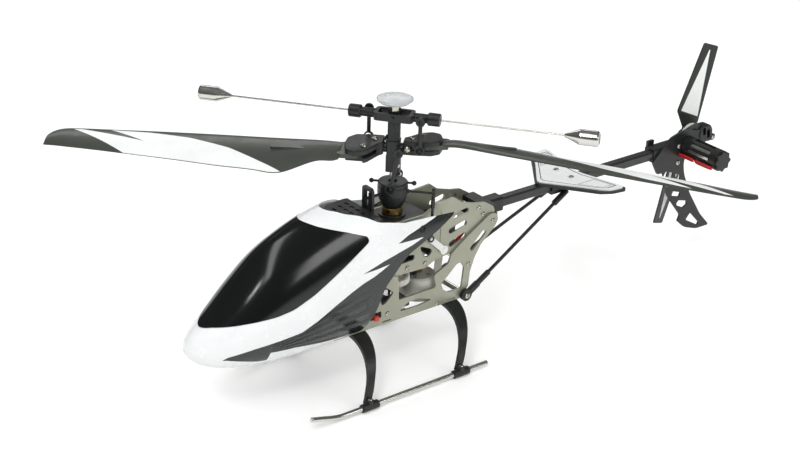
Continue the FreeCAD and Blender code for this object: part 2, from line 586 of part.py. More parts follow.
GRIP_OUTLINE = [(6.4, -5.0, 1.0), (14.5, -5.0, 3), (25.0, -4.0, 4), (30.0, 1.0, 4), (31.0, 9.0, 5),
                (29.0, 18.0, 5), (23.0, 21.0, 4), (15.5, 17.0, 5), (9.0, 7.0, 3), (6.4, 4.6, 1.5)]
GRIP_BOLTS = [(12.3, 1.4), (18.2, 12.0)]
GRIP_MID = HUB_Z + 1.3
GRIP_GAP = (GRIP_MID - 1.55, GRIP_MID + 1.55)
GRIP_SPAN = (GRIP_MID - 4.6, GRIP_MID + 4.8)
YOKE_BALL = (17.7, -9.5, HUB_Z + 2.9)


def tilt(shape, angle):
    """Pitches a piece of the +X blade about the feathering axis, leading edge up."""
    return turn(shape, -angle, (0, 0, HUB_Z), (1, 0, 0))


def blade_grip():
    body = plate_z(GRIP_OUTLINE, *GRIP_SPAN)
    body = body.makeFillet(0.7, [e for e in body.Edges if abs(e.BoundBox.ZLength) < 0.01])
    gap = box(10.2, 40, -20, 30, *GRIP_GAP)
    body = body.cut(gap)
    holes = [rod((x, y, 140), (x, y, 175), SCREW_HOLE) for x, y in GRIP_BOLTS]
    body = body.cut(fuse(holes + [box(18.0, 40, 15.5, 30, 140, GRIP_MID)]))
    body = tilt(body, GRIP_TILT)
    barrel = rod((4.7, 0, HUB_Z), (7.0, 0, HUB_Z), 3.4)
    shaft = rod((0, 0, HUB_Z), (6.6, 0, HUB_Z), 1.6)
    arm_root = (YOKE_BALL[0], -4.0, HUB_Z + 2.6)
    arm = fuse([rod(arm_root, YOKE_BALL, 1.1), ball(YOKE_BALL, 1.3)])
    return fuse([body, barrel, shaft, arm])


def grip_bolt_set():
    bolts = []
    for x, y in GRIP_BOLTS:
        bolts.append(screw((x, y, GRIP_SPAN[1]), (0, 0, 1), 9.0, 2.0))
        nut = [(x + 1.9 * math.cos(math.radians(60 * k)), y + 1.9 * math.sin(math.radians(60 * k)))
               for k in range(6)]
        lower = plate_z(nut, GRIP_SPAN[0] - 1.4, GRIP_SPAN[0])
        bolts.append(lower.cut(rod((x, y, 150), (x, y, 156), SHANK + 0.02)))
    side = screw((9.2, -5.0, GRIP_MID - 0.4), (0, -1, 0), 0.0, 2.2)
    return [tilt(b, GRIP_TILT) for b in bolts + [side]]


# r, leading-edge y, trailing-edge y, leading-edge height, trailing-edge height above the hub's axis
BLADE_STATIONS = [
    (22.0, 1.6, 19.8, 1.2, -1.2), (33.0, 2.4, 20.6, 1.7, -1.7), (44.0, 2.4, 23.4, 2.1, -2.4),
    (58.0, 0.6, 28.4, 1.2, -5.8), (71.0, -1.0, 33.2, 0.2, -9.0), (84.0, -2.6, 30.8, -0.7, -9.5),
    (105.0, -5.4, 26.4, -2.1, -10.4), (137.0, -9.6, 20.0, -4.4, -11.2), (170.0, -13.4, 13.2, -6.8, -12.4),
    (200.0, -16.4, 7.0, -9.0, -13.6), (218.0, -18.0, 3.2, -10.3, -14.6), (226.5, -17.4, 1.6, -11.2, -15.0),
    (231.5, -14.4, 0.9, -12.2, -15.3), (ROTOR_RADIUS, -10.0, 0.4, -13.2, -15.4),
]


def blade_section(station, thick):
    """A thin cambered section, as a closed curve through points above and below the chord."""
    r, lead_y, trail_y, lead_z, trail_z = station
    chord = Vector(0, trail_y - lead_y, trail_z - lead_z)
    up = Vector(0, -chord.z, chord.y).normalize()
    base = Vector(r, lead_y, HUB_Z + lead_z)
    crown = 0.055 * chord.Length
    shares = (0.0, 0.04, 0.15, 0.4, 0.7, 1.0)

    def line(t, side):
        camber = crown * 4 * t * (1 - t)
        body = thick * (0.32 + 1.35 * math.sqrt(max(t, 0.0)) * (1 - t) + 0.12 * (1 - t))
        return base + chord * t + up * (camber + side * body / 2)

    top = [line(t, 1) for t in shares]
    bottom = [line(t, -1) for t in reversed(shares)]
    upper = Part.BSplineCurve()
    upper.interpolate(top)
    lower = Part.BSplineCurve()
    lower.interpolate(bottom)
    close_tail = Part.makeLine(top[-1], bottom[0])
    close_nose = Part.makeLine(bottom[-1], top[0])
    return Part.Wire([upper.toShape(), close_tail, lower.toShape(), close_nose])


def main_blade():
    """A drooping, twisted blade. Its flat root is clamped in the grip by two bolts."""
    sections = []
    for station in BLADE_STATIONS[1:]:
        thick = 2.6 - 1.5 * min(1.0, (station[0] - 30) / 190)
        sections.append(blade_section(station, thick))
    wing = Part.makeLoft(sections, True, False)
    tab = plate_z([(10.4, -2.6, 2), (22, -2.6, 3), (35.0, 3.4, 1), (35.0, 19.0, 3), (22, 18.2, 5),
                   (10.4, 4.6, 2)], GRIP_MID - 1.5, GRIP_MID + 1.5)
    tab = tab.cut(fuse([rod((x, y, 150), (x, y, 170), SCREW_HOLE) for x, y in GRIP_BOLTS]))
    rib = plate_z([(33, 7.4, 0), (36, 7.4, 0), (79, 10.0, 1.6), (79, 13.2, 1.6), (33, 13.6, 0)],
                  GRIP_MID + 0.6, GRIP_MID + 1.6)
    rib = turn(rib, 1.6, (33, 0, HUB_Z), (0, 1, 0))
    return fuse([wing, tilt(tab, GRIP_TILT), tilt(rib, GRIP_TILT)])


def make_blades():
    grips = fuse([blade_grip(), half_turn(blade_grip())])
    PARTS["blade_grips"] = to_blades(grips)
    bolts = grip_bolt_set()
    bolts += [half_turn(b) for b in bolts]
    PARTS["grip_bolts"] = Part.makeCompound([to_blades(b) for b in bolts])
    blade = main_blade()
    PARTS["blade_a"] = to_blades(half_turn(blade))
    PARTS["blade_b"] = to_blades(blade)


# ---- flybar, built along +X and turned to its own direction ----
LINK_ALONG = 18.8
FLY_LINK_OUT = 7.2


def fly_link():
    """A short link from the seesaw's ball down to the ball on a blade grip."""
    top = Vector(LINK_ALONG, -FLY_LINK_OUT, FLYBAR_Z)
    bottom = Vector(LINK_ALONG, -FLY_LINK_OUT, YOKE_BALL[2])
    out = Vector(0, 0.8, 0)
    eye = ring(top - out, top + out, 3.1, 1.3 + 0.06)
    low = ring(bottom - out, bottom + out, 3.3, 2.35)
    bar = rod(bottom + Vector(0, 0, 2.9), top - Vector(0, 0, 2.4), 1.3)
    return fuse([eye, low, bar])


def make_flybar():
    frame = plate_z([(-13.0, -6.4), (13.0, -6.4), (13.0, 6.4), (-13.0, 6.4)], FLYBAR_Z - 2.6,
                    FLYBAR_Z + 2.6, 3.0)
    frame = frame.cut(plate_z([(-10.4, -4.5), (10.4, -4.5), (10.4, 4.5), (-10.4, 4.5)], 170, 190, 1.6))
    half = [rod((12.0, 0, FLYBAR_Z), (23.5, 0, FLYBAR_Z), 3.05),
            turned([(0, 22.3), (4.0, 22.3), (4.3, 22.7), (4.3, 29.6), (3.8, 30.2), (0, 30.2)],
                   (0, 0, FLYBAR_Z), (1, 0, 0)),
            rod((LINK_ALONG, -2.0, FLYBAR_Z), (LINK_ALONG, -FLY_LINK_OUT, FLYBAR_Z), 0.9),
            ball((LINK_ALONG, -FLY_LINK_OUT, FLYBAR_Z), 1.3)]
    half = fuse(half)
    body = fuse([frame, half, half_turn(half)])
    body = body.cut(rod((-40, 0, FLYBAR_Z), (40, 0, FLYBAR_Z), 0.65))
    body = body.cut(rod((0, -10, FLYBAR_Z), (0, 10, FLYBAR_Z), 1.0 + RUN))
    PARTS["flybar_seesaw"] = to_flybar(body)
    PARTS["flybar_rod"] = to_flybar(rod((-131.0, 0, FLYBAR_Z), (131.0, 0, FLYBAR_Z), 0.65))
    r, tip = 5.05, FLYBAR_RADIUS - 22.2
    weight = turned([(0.65, tip), (1.1, tip), (r - 0.3, tip + 9.0), (r, tip + 9.8), (r, FLYBAR_RADIUS - 1.6),
                     (r - 0.5, FLYBAR_RADIUS - 0.5), (r - 1.6, FLYBAR_RADIUS), (0, FLYBAR_RADIUS),
                     (0, 131.0), (0.65, 131.0)], (0, 0, FLYBAR_Z), (1, 0, 0))
    PARTS["flybar_weights"] = Part.makeCompound([to_flybar(weight), to_flybar(half_turn(weight))])
    PARTS["flybar_link_a"] = to_flybar(half_turn(fly_link()))
    PARTS["flybar_link_b"] = to_flybar(fly_link())


# ---- landing gear ----
def bezier(p, t):
    s = 1 - t
    return tuple(s ** 3 * a + 3 * s * s * t * b + 3 * s * t * t * c + t ** 3 * d for a, b, c, d in zip(*p))


def strut_leg(top_y, foot_y):
    """One curved, tapering leg, from under the frame to the skid clamp."""
    half_track = TRACK / 2
    path = [(8.0, 38.1), (25.0, 38.1), (40.5, 32.0), (half_track - 3.0, CLAMP_R + 1.2)]
    sections = []
    steps = 12
    for i in range(steps + 1):
        t = i / steps
        x, z = bezier(path, t)
        x2, z2 = bezier(path, min(t + 0.01, 1.0)) if t < 1 else (x, z - 1)
        dx, dz = x2 - x, z2 - z
        size = math.hypot(dx, dz)
        nx, nz = -dz / size, dx / size
        share = ((38.1 - z) / (38.1 - CLAMP_R - 1.2)) ** 0.85
        y = top_y + (foot_y - top_y) * share
        wide = 6.0 - 3.3 * min(1.0, share * 1.6) ** 0.7
        thin = 1.25
        sections.append([(x - nx * thin, y - wide, z - nz * thin), (x + nx * thin, y - wide, z + nz * thin),
                         (x + nx * thin, y + wide, z + nz * thin), (x - nx * thin, y + wide, z - nz * thin)])
    return bar_loft(sections)


def strut(ys):
    top_y, foot_y = ys
    leg = strut_leg(top_y, foot_y)
    half_track = TRACK / 2
    sleeve = rod((half_track, foot_y - 6.5, CLAMP_R), (half_track, foot_y + 6.5, CLAMP_R), CLAMP_R)
    sleeve = sleeve.makeFillet(0.5, [e for e in sleeve.Edges if abs(e.BoundBox.YLength) < 0.01])
    pad = rod((half_track + 0.3, foot_y, CLAMP_R), (half_track + 0.3, foot_y, 7.6), 2.3)
    side = fuse([leg, sleeve, pad])
    bridge = box(-9.0, 9.0, top_y - 6.0, top_y + 6.0, 36.85, FRAME_BOTTOM - 0.15)
    both = fuse([side, mirror_x(side), bridge])
    for s in (-1, 1):
        both = both.cut(rod((s * half_track, foot_y - 9, CLAMP_R), (s * half_track, foot_y + 9, CLAMP_R),
                            TUBE_R + 0.05))
    return both


def skid_tube(side):
    x = side * TRACK / 2
    rear = Vector(x, SKID_REAR, CLAMP_R)
    bend = Vector(x, SKID_BEND, CLAMP_R)
    tip = Vector(x, SKID_TIP.y, SKID_TIP.z)
    back = (rear - bend).normalize()
    ahead = (tip - bend).normalize()
    radius = 40.0
    half = back.getAngle(ahead) / 2
    cut = radius / math.tan(half)
    p1, p2 = bend + back * cut, bend + ahead * cut
    inward = (back + ahead).normalize()
    middle = bend + inward * (radius / math.sin(half) - radius)
    path = Part.Wire([Part.makeLine(rear, p1), Part.Arc(p1, middle, p2).toShape(), Part.makeLine(p2, tip)])
    circle = Part.Wire(Part.Circle(rear, back, TUBE_R).toShape())
    tube = path.makePipeShell([circle], True, False)
    ends = [e for e in tube.Edges if len(e.Vertexes) == 1 and
            (e.BoundBox.YMax > SKID_REAR - 0.01 or e.BoundBox.YMin < SKID_TIP.y - 0.2)]
    return tube.makeFillet(0.8, ends) if ends else tube


def make_landing_gear():
    PARTS["skid_struts"] = Part.makeCompound([strut(FRONT_STRUT), strut(REAR_STRUT)])
    PARTS["skid_tubes"] = Part.makeCompound([skid_tube(1), skid_tube(-1)])


# ---- tail boom, stabilizer and braces ----
BOOM_HALF = BOOM_W / 2
STAB_Z = BOOM_Z + BOOM_HALF + 1.2
STAB_OUTLINE = [(0, 126.5, 4), (24.0, 145.0, 14), (36.6, 154.6, 8), (41.2, 162.5, 8), (43.2, 175.6, 2.5),
                (34.0, 173.4, 20), (9.0, 166.4, 16), (0, 165.6, 0)]
STAB_SCREWS = [(-8.0, 153.4), (8.0, 153.4)]
BRACE_TOP = Vector(6.4, 152.0, 91.8)


def square_tube(half, y0, y1, corner):
    solid = box(-half, half, y0, y1, BOOM_Z - half, BOOM_Z + half)
    return solid.makeFillet(corner, [e for e in solid.Edges if e.BoundBox.YLength > 5])


def both_sides(points):
    mirrored = [(-p[0],) + tuple(p[1:]) for p in reversed(points) if p[0] > 0]
    return list(points) + mirrored


def inset(points, gap):
    """An outline pulled in by gap towards its own middle line."""
    result = []
    mid_y = (points[0][1] + points[4][1]) / 2
    for p in points:
        x = max(0.0, p[0] - gap * 1.15) if p[0] > 0 else 0.0
        y = p[1] + (gap * 1.3 if p[1] < mid_y + 4 else -gap)
        result.append((x, y) + tuple(p[2:]))
    return result


def make_boom():
    boom = square_tube(BOOM_HALF, BOOM_FRONT, BOOM_REAR, 1.4)
    PARTS["tail_boom"] = boom.cut(square_tube(BOOM_HALF - 1.0, BOOM_FRONT - 1, BOOM_REAR + 1, 0.6))
    holder = box(-UPPER_IN, UPPER_IN, 70.9, 80.4, 88.6, 101.4)
    ear = plate_x([(71.0, 88.6), (80.4, 88.6), (80.4, 95.6), (78.6, 95.6), (72.2, 92.0), (71.0, 91.4)],
                  UPPER_IN - 0.1, PLATE_IN)
    holder = fuse([holder, ear, mirror_x(ear)]).cut(square_tube(BOOM_HALF - 1.0, 60, 82, 0.6))
    sleeve = square_tube(5.3, 80.3, 93.0, 1.8)
    holder = fuse([holder, sleeve]).cut(square_tube(BOOM_HALF, 80.45, 95, 1.4))
    holder = holder.cut(rod((-20, *LOWER_SCREWS[4]), (20, *LOWER_SCREWS[4]), SCREW_HOLE))
    PARTS["boom_sleeve"] = holder


def make_stabilizer():
    base = plate_z(both_sides(STAB_OUTLINE), STAB_Z - 1.2, STAB_Z + 0.8)
    clamp = square_tube(BOOM_HALF + 1.7, 139.0, 165.0, 1.2).cut(box(-20, 20, 120, 180, STAB_Z, 120))
    base = fuse([base, clamp]).cut(square_tube(BOOM_HALF + 0.02, 100, 200, 1.4))
    cover = plate_z(both_sides(inset(STAB_OUTLINE, 1.3)), STAB_Z + 0.8, STAB_Z + 1.7)
    holes = fuse([rod((x, y, 90), (x, y, 110), SCREW_HOLE) for x, y in STAB_SCREWS])
    PARTS["stabilizer_base"] = base.cut(holes)
    PARTS["stabilizer_cover"] = cover.cut(holes)


def brace(side):
    """One strut from the frame's rear foot to the boom clamp: a rod with a plastic end each way."""
    foot = Vector(PLATE_OUT + 2.0, *BRACE_FOOT)
    along = (BRACE_TOP - foot).normalize()
    ring_end = ring((PLATE_OUT + 0.1, *BRACE_FOOT), (PLATE_OUT + 3.3, *BRACE_FOOT), 4.2, SCREW_HOLE)
    lower = fuse([ring_end, rod(foot + along * 3.6, foot + along * 12, 2.5),
                  rod(foot + along * 11.9, foot + along * 24, 2.0)])
    upper = rod(BRACE_TOP - along * 15, BRACE_TOP - along * 1.0, 2.2)
    middle = rod(foot + along * 23.9, BRACE_TOP - along * 14.9, 1.25)
    lower = lower.cut(rod((PLATE_OUT - 1, *BRACE_FOOT), (PLATE_OUT + 8, *BRACE_FOOT), SCREW_HOLE))
    lower = lower.cut(rod((PLATE_OUT + 3.3, *BRACE_FOOT), (PLATE_OUT + 9, *BRACE_FOOT), 2.6))
    clamp = square_tube(BOOM_HALF + 1.7, 139.0, 165.0, 1.2)
    strut_solid = fuse([lower, middle, upper]).cut(clamp)
    return strut_solid if side > 0 else mirror_x(strut_solid)


def make_braces():
    PARTS["tail_braces"] = Part.makeCompound([brace(1), brace(-1)])


# ---- tail group ----
FIN_OUTLINE = [(238.0, 91.1, 2), (244.0, 80.7, 1), (250.0, 80.0, 2), (256.8, 60.2, 14), (273.7, 39.4, 3),
               (271.6, 34.8, 1), (280.0, 27.5, 16), (293.5, 22.8, 16), (307.8, 22.6, 1), (296.0, 35.0, 40),
               (282.2, 55.7, 40), (273.6, 73.7, 30), (271.6, 83.6, 12), (274.0, 90.4, 10), (281.0, 93.0, 2),
               (290.0, 106.0, 4), (268.0, 110.5, 14), (255.7, 107.4, 8)]
FIN_HOLES = [[(250.8, 77.0), (253.5, 80.8), (261.5, 77.5), (259.0, 67.0), (256.0, 66.5)],
             [(263.8, 76.6), (269.6, 74.2), (269.4, 70.4), (265.2, 69.5)],
             [(259.0, 63.3), (272.0, 59.0), (270.5, 55.6), (262.8, 58.0)],
             [(268.3, 50.4), (270.6, 52.6), (279.6, 50.0), (280.0, 46.8), (276.6, 44.9), (269.4, 48.4)],
             [(285.2, 38.6), (280.5, 33.6), (295.0, 25.4), (295.9, 27.6)]]
FIN_SCREWS = [(264.7, 98.7), (264.9, 85.2)]
HOUSING_CAP = (292.6, 102.6)
TAIL_SHAFT_R = 1.0


def make_fin():
    plate = plate_x(FIN_OUTLINE, *FIN_X)
    holes = [plate_x(h, 0, 10, 1.0) for h in FIN_HOLES]
    holes += [rod((0, y, z), (10, y, z), SCREW_HOLE) for y, z in FIN_SCREWS]
    holes.append(rod((0, *TAIL_MOTOR), (10, *TAIL_MOTOR), 2.4))
    PARTS["tail_fin"] = plate.cut(fuse(holes))


def tail_housing():
    block = box(-5.4, 4.3, 240.0, 269.0, BOOM_Z - 5.2, BOOM_Z + 5.2)
    block = block.makeFillet(1.2, [e for e in block.Edges if e.BoundBox.YLength > 20])
    foot = box(1.0, 4.3, 258.0, 268.6, 82.0, 92.0)
    web = plate_x([(262.0, 91.0, 1), (276.0, 90.0, 4), (293.0, 91.5, 6), (299.0, 100.0, 6), (296.5, 109.0, 6),
                   (286.0, 110.4, 6), (262.0, 104.5, 3)], 0.0, 4.3)
    cap = rod((0.0, *HOUSING_CAP), (6.6, *HOUSING_CAP), 7.2)
    cap = cap.makeFillet(1.4, [e for e in cap.Edges if e.BoundBox.XMin > 6.5])
    lug = fuse([rod((0.0, 302.5, 97.0), (4.6, 302.5, 97.0), 2.6), box(0.0, 4.3, 297.0, 302.5, 94.6, 99.4)])
    top_lug = box(-7.4, -5.2, 243.0, 249.0, 98.0, 103.4)
    body = fuse([block, foot, web, cap, lug, top_lug])
    windows = [slot_x((290.0, 106.4), (290.6, 103.0), 1.5, 2.0, 10),
               slot_x((294.6, 104.2), (295.4, 99.8), 1.5, 2.0, 10)]
    cuts = windows + [square_tube(BOOM_HALF + 0.02, 230, BOOM_REAR + 0.1, 1.4),
                      square_tube(2.0, 250, 268, 0.5),
                      rod((-10, *TAIL_MOTOR), (10, *TAIL_MOTOR), 2.2),
                      rod((-10, *TAIL_SHAFT), (3.4, *TAIL_SHAFT), TAIL_SHAFT_R + RUN)]
    cuts += [rod((-1, y, z), (10, y, z), SCREW_HOLE) for y, z in FIN_SCREWS]
    cuts.append(rod((1.0, 302.5, 97.0), (10, 302.5, 97.0), SCREW_HOLE))
    return body.cut(fuse(cuts)).cut(plate_x([(p[0], p[1]) for p in FIN_OUTLINE], 4.35, 5.9))


def along_x(shape, centre):
    """Turns a piece built about +Z so that its axis lies along +X through (y, z)."""
    result = shape.copy()
    upright = FreeCAD.Rotation(Vector(0, 1, 0), Vector(0, 0, 1), Vector(1, 0, 0), "XZY")
    result.Placement = FreeCAD.Placement(Vector(0, *centre), upright).multiply(result.Placement)
    return result


def tail_gear_blank(teeth, centre, bore, phase):
    blank = gear(teeth, TAIL_MODULE, (0, 0), TAIL_GEAR_X[0], TAIL_GEAR_X[1], bore, phase)
    return along_x(blank, centre)


def make_tail_drive():
    y, z = TAIL_MOTOR
    body = turned([(0, 8.0), (TAIL_MOTOR_R - 0.5, 8.0), (TAIL_MOTOR_R, 8.5), (TAIL_MOTOR_R, 38.6),
                   (TAIL_MOTOR_R - 0.6, 39.2), (0, 39.2)], (0, y, z), (1, 0, 0))
    PARTS["tail_motor"] = body.cut(rod((7, y, z), (14, y, z), 0.8 + RUN))
    sleeve = ring((6.1, y, z), (39.4, y, z), TAIL_MOTOR_R + 1.1, TAIL_MOTOR_R + 0.02)
    base = ring((6.1, y, z), (7.9, y, z), TAIL_MOTOR_R + 1.1, 2.4)
    windows = []
    for k in range(8):
        bar = box(13.0, 33.0, y - 1.7, y + 1.7, z + 4, z + 12)
        windows.append(turn(bar, 45 * k, (0, y, z), (1, 0, 0)))
    star = []
    for k in range(16):
        r = 8.2 if k % 2 == 0 else 6.4
        a = 2 * math.pi * k / 16
        star.append((y + r * math.cos(a), z + r * math.sin(a)))
    cap = plate_x(star, 39.3, 41.6, 0.5)
    PARTS["tail_motor_sleeve"] = fuse([sleeve.cut(fuse(windows)), base, cap])
    pinion = tail_gear_blank(TAIL_PINION_TEETH, TAIL_MOTOR, 0.7, 0.0)
    PARTS["tail_pinion"] = fuse([pinion, rod((-6.6, y, z), (13.0, y, z), 0.8)])
    half = math.pi / TAIL_GEAR_TEETH
    wheel = tail_gear_blank(TAIL_GEAR_TEETH, TAIL_SHAFT, TAIL_SHAFT_R, half)
    holes = []
    for k in range(5):
        a = 2 * math.pi * k / 5
        hy, hz = TAIL_SHAFT[0] + 6.4 * math.cos(a), TAIL_SHAFT[1] + 6.4 * math.sin(a)
        holes.append(rod((-9, hy, hz), (0, hy, hz), 2.0))
    PARTS["tail_gear"] = wheel.cut(fuse(holes))
    PARTS["tail_shaft"] = rod((-15.2, *TAIL_SHAFT), (3.2, *TAIL_SHAFT), TAIL_SHAFT_R)


TAIL_BLADE = [(1.5, -3.0, 0), (5.0, -3.6, 1), (11.1, -9.8, 3), (71.1, -9.2, 1.5), (72.3, 4.5, 1.5),
              (17.9, 12.0, 4), (6.0, 3.2, 1), (1.5, 3.0, 0)]
TAIL_ROTOR_X = -12.0
TAIL_BLADE_LEAN = 14.0
TAIL_BLADE_PITCH = -12.0


def make_tail_rotor():
    """Two blades on a small hub. Each is a thin plate pitched about its own long axis."""
    blade = plate_z(TAIL_BLADE, -0.55, 0.55)
    edges = [e for e in blade.Edges if e.BoundBox.ZLength < 0.01 and e.Length > 4]
    blade = blade.makeChamfer(0.25, edges)
    blade = turn(blade, TAIL_BLADE_PITCH, (0, 0, 0), (1, 0, 0))
    pair = [blade, half_turn(blade)]
    barrel = [(TAIL_SHAFT_R, -3.0), (3.6, -3.0), (4.2, -2.4), (4.2, 2.4), (3.6, 3.0), (TAIL_SHAFT_R, 3.0)]
    hub = turned(barrel, (0, 0, 0), (0, 0, 1))
    root = [rod((-6, 0, 0), (6, 0, 0), 2.2)]
    rotor = fuse(pair + [hub] + root).cut(rod((0, 0, -10), (0, 0, 10), TAIL_SHAFT_R))
    rotor = turn(rotor, 90 - TAIL_BLADE_LEAN)
    rotor.translate(Vector(0, 0, TAIL_ROTOR_X))
    rotor = along_x(rotor, TAIL_SHAFT)
    PARTS["tail_rotor"] = rotor


# ---- canopy ----
WINDSHIELD = [(-149.5, 72.0, 3), (-144.3, 73.5, 10), (-127.0, 75.9, 40), (-108.0, 77.6, 40),
              (-95.8, 79.9, 30), (-80.7, 86.0, 40), (-54.6, 99.9, 60), (-36.0, 109.8, 2),
              (-37.0, 113.0, 2), (-49.9, 117.9, 20),
              (-67.3, 123.3, 20), (-76.0, 126.5, 4), (-95.0, 150.0, 0), (-170.0, 150.0, 0), (-170.0, 72.0, 0)]
SIDE_CUT = [(-40.0, 30.0, 0), (-37.5, 42.0, 2), (-31.5, 55.0, 10), (-25.0, 74.0, 14), (-8.0, 92.0, 30),
            (20.0, 103.0, 40), (36.0, 110.5, 3), (32.0, 119.0, 4), (24.0, 124.5, 2), (24.0, 160.0, 0),
            (90.0, 160.0, 0), (90.0, 30.0, 0)]
OPENING = [(0.0, -62.0, 8), (12.0, -47.0, 16), (20.0, -26.0, 20), (22.0, -6.0, 20), (22.0, 60.0, 0)]


def canopy_section(station, skin):
    """A closed smooth cross-section of the canopy, pulled in by the skin thickness."""
    y, top, half, bottom, widest, peak = station
    top, half, bottom = top - skin, half - skin, bottom + skin
    shoulder = math.pi / 2
    points = []
    for k in range(8):
        t = shoulder * k / 8
        points.append((half * math.cos(t) ** peak, widest + (top - widest) * math.sin(t) ** 0.98))
    upper = [(x, z) for x, z in points[1:]]
    lower = []
    for k in range(1, 6):
        t = shoulder * k / 6
        lower.append((half * math.cos(t) ** 0.62, widest - (widest - bottom) * math.sin(t) ** 0.8))
    right = [(half, widest)] + upper
    left_upper = [(-x, z) for x, z in reversed(upper)]
    left_lower = [(-x, z) for x, z in lower]
    right_lower = [(x, z) for x, z in reversed(lower)]
    loop = right + [(0, top)] + left_upper + [(-half, widest)] + left_lower + [(0, bottom)] + right_lower
    curve = Part.BSplineCurve()
    curve.interpolate([Vector(x, y, z) for x, z in loop], PeriodicFlag=True)
    return Part.Wire(curve.toShape())


def canopy_form(skin):
    stations = CANOPY_STATIONS
    if skin > 0:
        stations = [INNER_NOSE] + stations[3:-1] + [(60.0,) + stations[-1][1:]]
    return Part.makeLoft([canopy_section(s, skin) for s in stations], True, False)


def make_canopy():
    shell = canopy_form(0.0).cut(canopy_form(SKIN))
    opening = plate_z(both_sides(OPENING), 100, 170)
    belly = fuse([box(-40, 40, -60, 60, 30, 41.6), box(-16.4, 16.4, -114, 60, 30, 46)])
    shell = shell.cut(plate_x(SIDE_CUT, -60, 60)).cut(opening).cut(belly)
    glass_zone = plate_x(WINDSHIELD, -60, 60)
    PARTS["canopy_shell"] = shell.cut(glass_zone)
    PARTS["windshield"] = shell.common(glass_zone)


def make_vent():
    """A slotted vent plate that closes the front of the opening round the head."""
    inner = [(0.0, -60.0, 6), (10.5, -46.5, 14), (17.6, -27.0, 10), (17.6, -23.5, 0)]
    plate = plate_z(both_sides(inner), 0, 1.2)
    slots = []
    for row in range(4):
        for col in range(-2, 3):
            x = col * 6.0 + (3.0 if row % 2 else 0)
            y = -52.0 + row * 7.2
            if abs(x) < 14.0 - (3 - row) * 3.6:
                corners = [(x - 2.0, y - 1.3), (x + 2.0, y - 1.3), (x + 2.0, y + 1.3), (x - 2.0, y + 1.3)]
                slots.append(plate_z(corners, -1, 3, 0.8))
    plate = plate.cut(fuse(slots))
    plate = turn(plate, -8.0, (0, -60, 0), (1, 0, 0))
    plate.translate(Vector(0, 0, 125.0))
    PARTS["canopy_vent"] = plate


def make_screws():
    items = []
    grip = 4.0
    for y, z in LOWER_SCREWS:
        items.append(screw((PLATE_OUT, y, z), (1, 0, 0), PLATE_T + grip))
    for y, z in UPPER_SCREWS[:2]:
        items.append(screw((UPPER_OUT, y, z), (1, 0, 0), UPPER_T + grip))
    items.append(screw((UPPER_OUT, *REAR_SPACER), (1, 0, 0), UPPER_T + grip))
    items.append(screw((UPPER_OUT, *UPPER_SCREWS[2]), (1, 0, 0), UPPER_T + 1))
    items.append(screw((PLATE_OUT + 3.3, *BRACE_FOOT), (1, 0, 0), PLATE_T + 3.3 + grip, 2.1))
    for ys in (FRONT_STRUT, REAR_STRUT):
        items.append(screw((TRACK / 2 + 0.3, ys[1], 7.6), (0, 0, 1), 0.0, 1.6))
    items += [mirror_x(s) for s in items]
    items += [screw((x, y, STAB_Z + 1.7), (0, 0, 1), 2.6, 1.9) for x, y in STAB_SCREWS]
    items += [screw((FIN_X[1], y, z), (1, 0, 0), 3.0, 1.9) for y, z in FIN_SCREWS]
    items.append(screw((4.6, 302.5, 97.0), (1, 0, 0), 2.0, 1.7))
    PARTS["screws"] = Part.makeCompound(items)


def main():
    make_frame()
    make_bearings()
    make_drive()
    make_electrics()
    make_wiring()
    make_servos()
    make_swash()
    make_hub()
    make_blades()
    make_flybar()
    make_landing_gear()
    make_boom()
    make_stabilizer()
    make_braces()
    make_fin()
    PARTS["tail_housing"] = tail_housing()
    make_tail_drive()
    make_tail_rotor()
    make_canopy()
    make_vent()
    make_screws()
    os.makedirs("parts", exist_ok=True)
    for name, shape in PARTS.items():
        shape.exportStep(os.path.join("parts", name + ".step"))
        print(name, len(shape.Solids), round(shape.Volume, 1), shape.isValid())


main()
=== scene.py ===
"""Looks for the small remote-control helicopter: paint, glass, moulded plastic and metal."""

import json
import math

import bmesh
import bpy
from mathutils import Matrix, Vector


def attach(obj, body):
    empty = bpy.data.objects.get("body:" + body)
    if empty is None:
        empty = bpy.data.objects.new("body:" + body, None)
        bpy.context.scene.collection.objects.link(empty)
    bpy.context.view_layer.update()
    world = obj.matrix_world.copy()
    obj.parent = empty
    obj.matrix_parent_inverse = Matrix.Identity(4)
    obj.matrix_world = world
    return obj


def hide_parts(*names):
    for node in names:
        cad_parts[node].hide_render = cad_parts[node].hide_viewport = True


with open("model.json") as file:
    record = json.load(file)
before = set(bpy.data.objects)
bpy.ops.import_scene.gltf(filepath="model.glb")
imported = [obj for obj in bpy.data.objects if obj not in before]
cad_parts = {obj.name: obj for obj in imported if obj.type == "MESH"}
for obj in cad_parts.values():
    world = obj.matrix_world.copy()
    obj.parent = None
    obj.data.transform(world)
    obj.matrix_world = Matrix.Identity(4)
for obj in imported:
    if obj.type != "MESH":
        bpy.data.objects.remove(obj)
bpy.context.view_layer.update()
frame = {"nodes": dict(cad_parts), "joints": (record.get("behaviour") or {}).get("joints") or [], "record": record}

MM = 0.001


def joint(name):
    """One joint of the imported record."""
    return next(j for j in frame["joints"] if j["name"] == name)


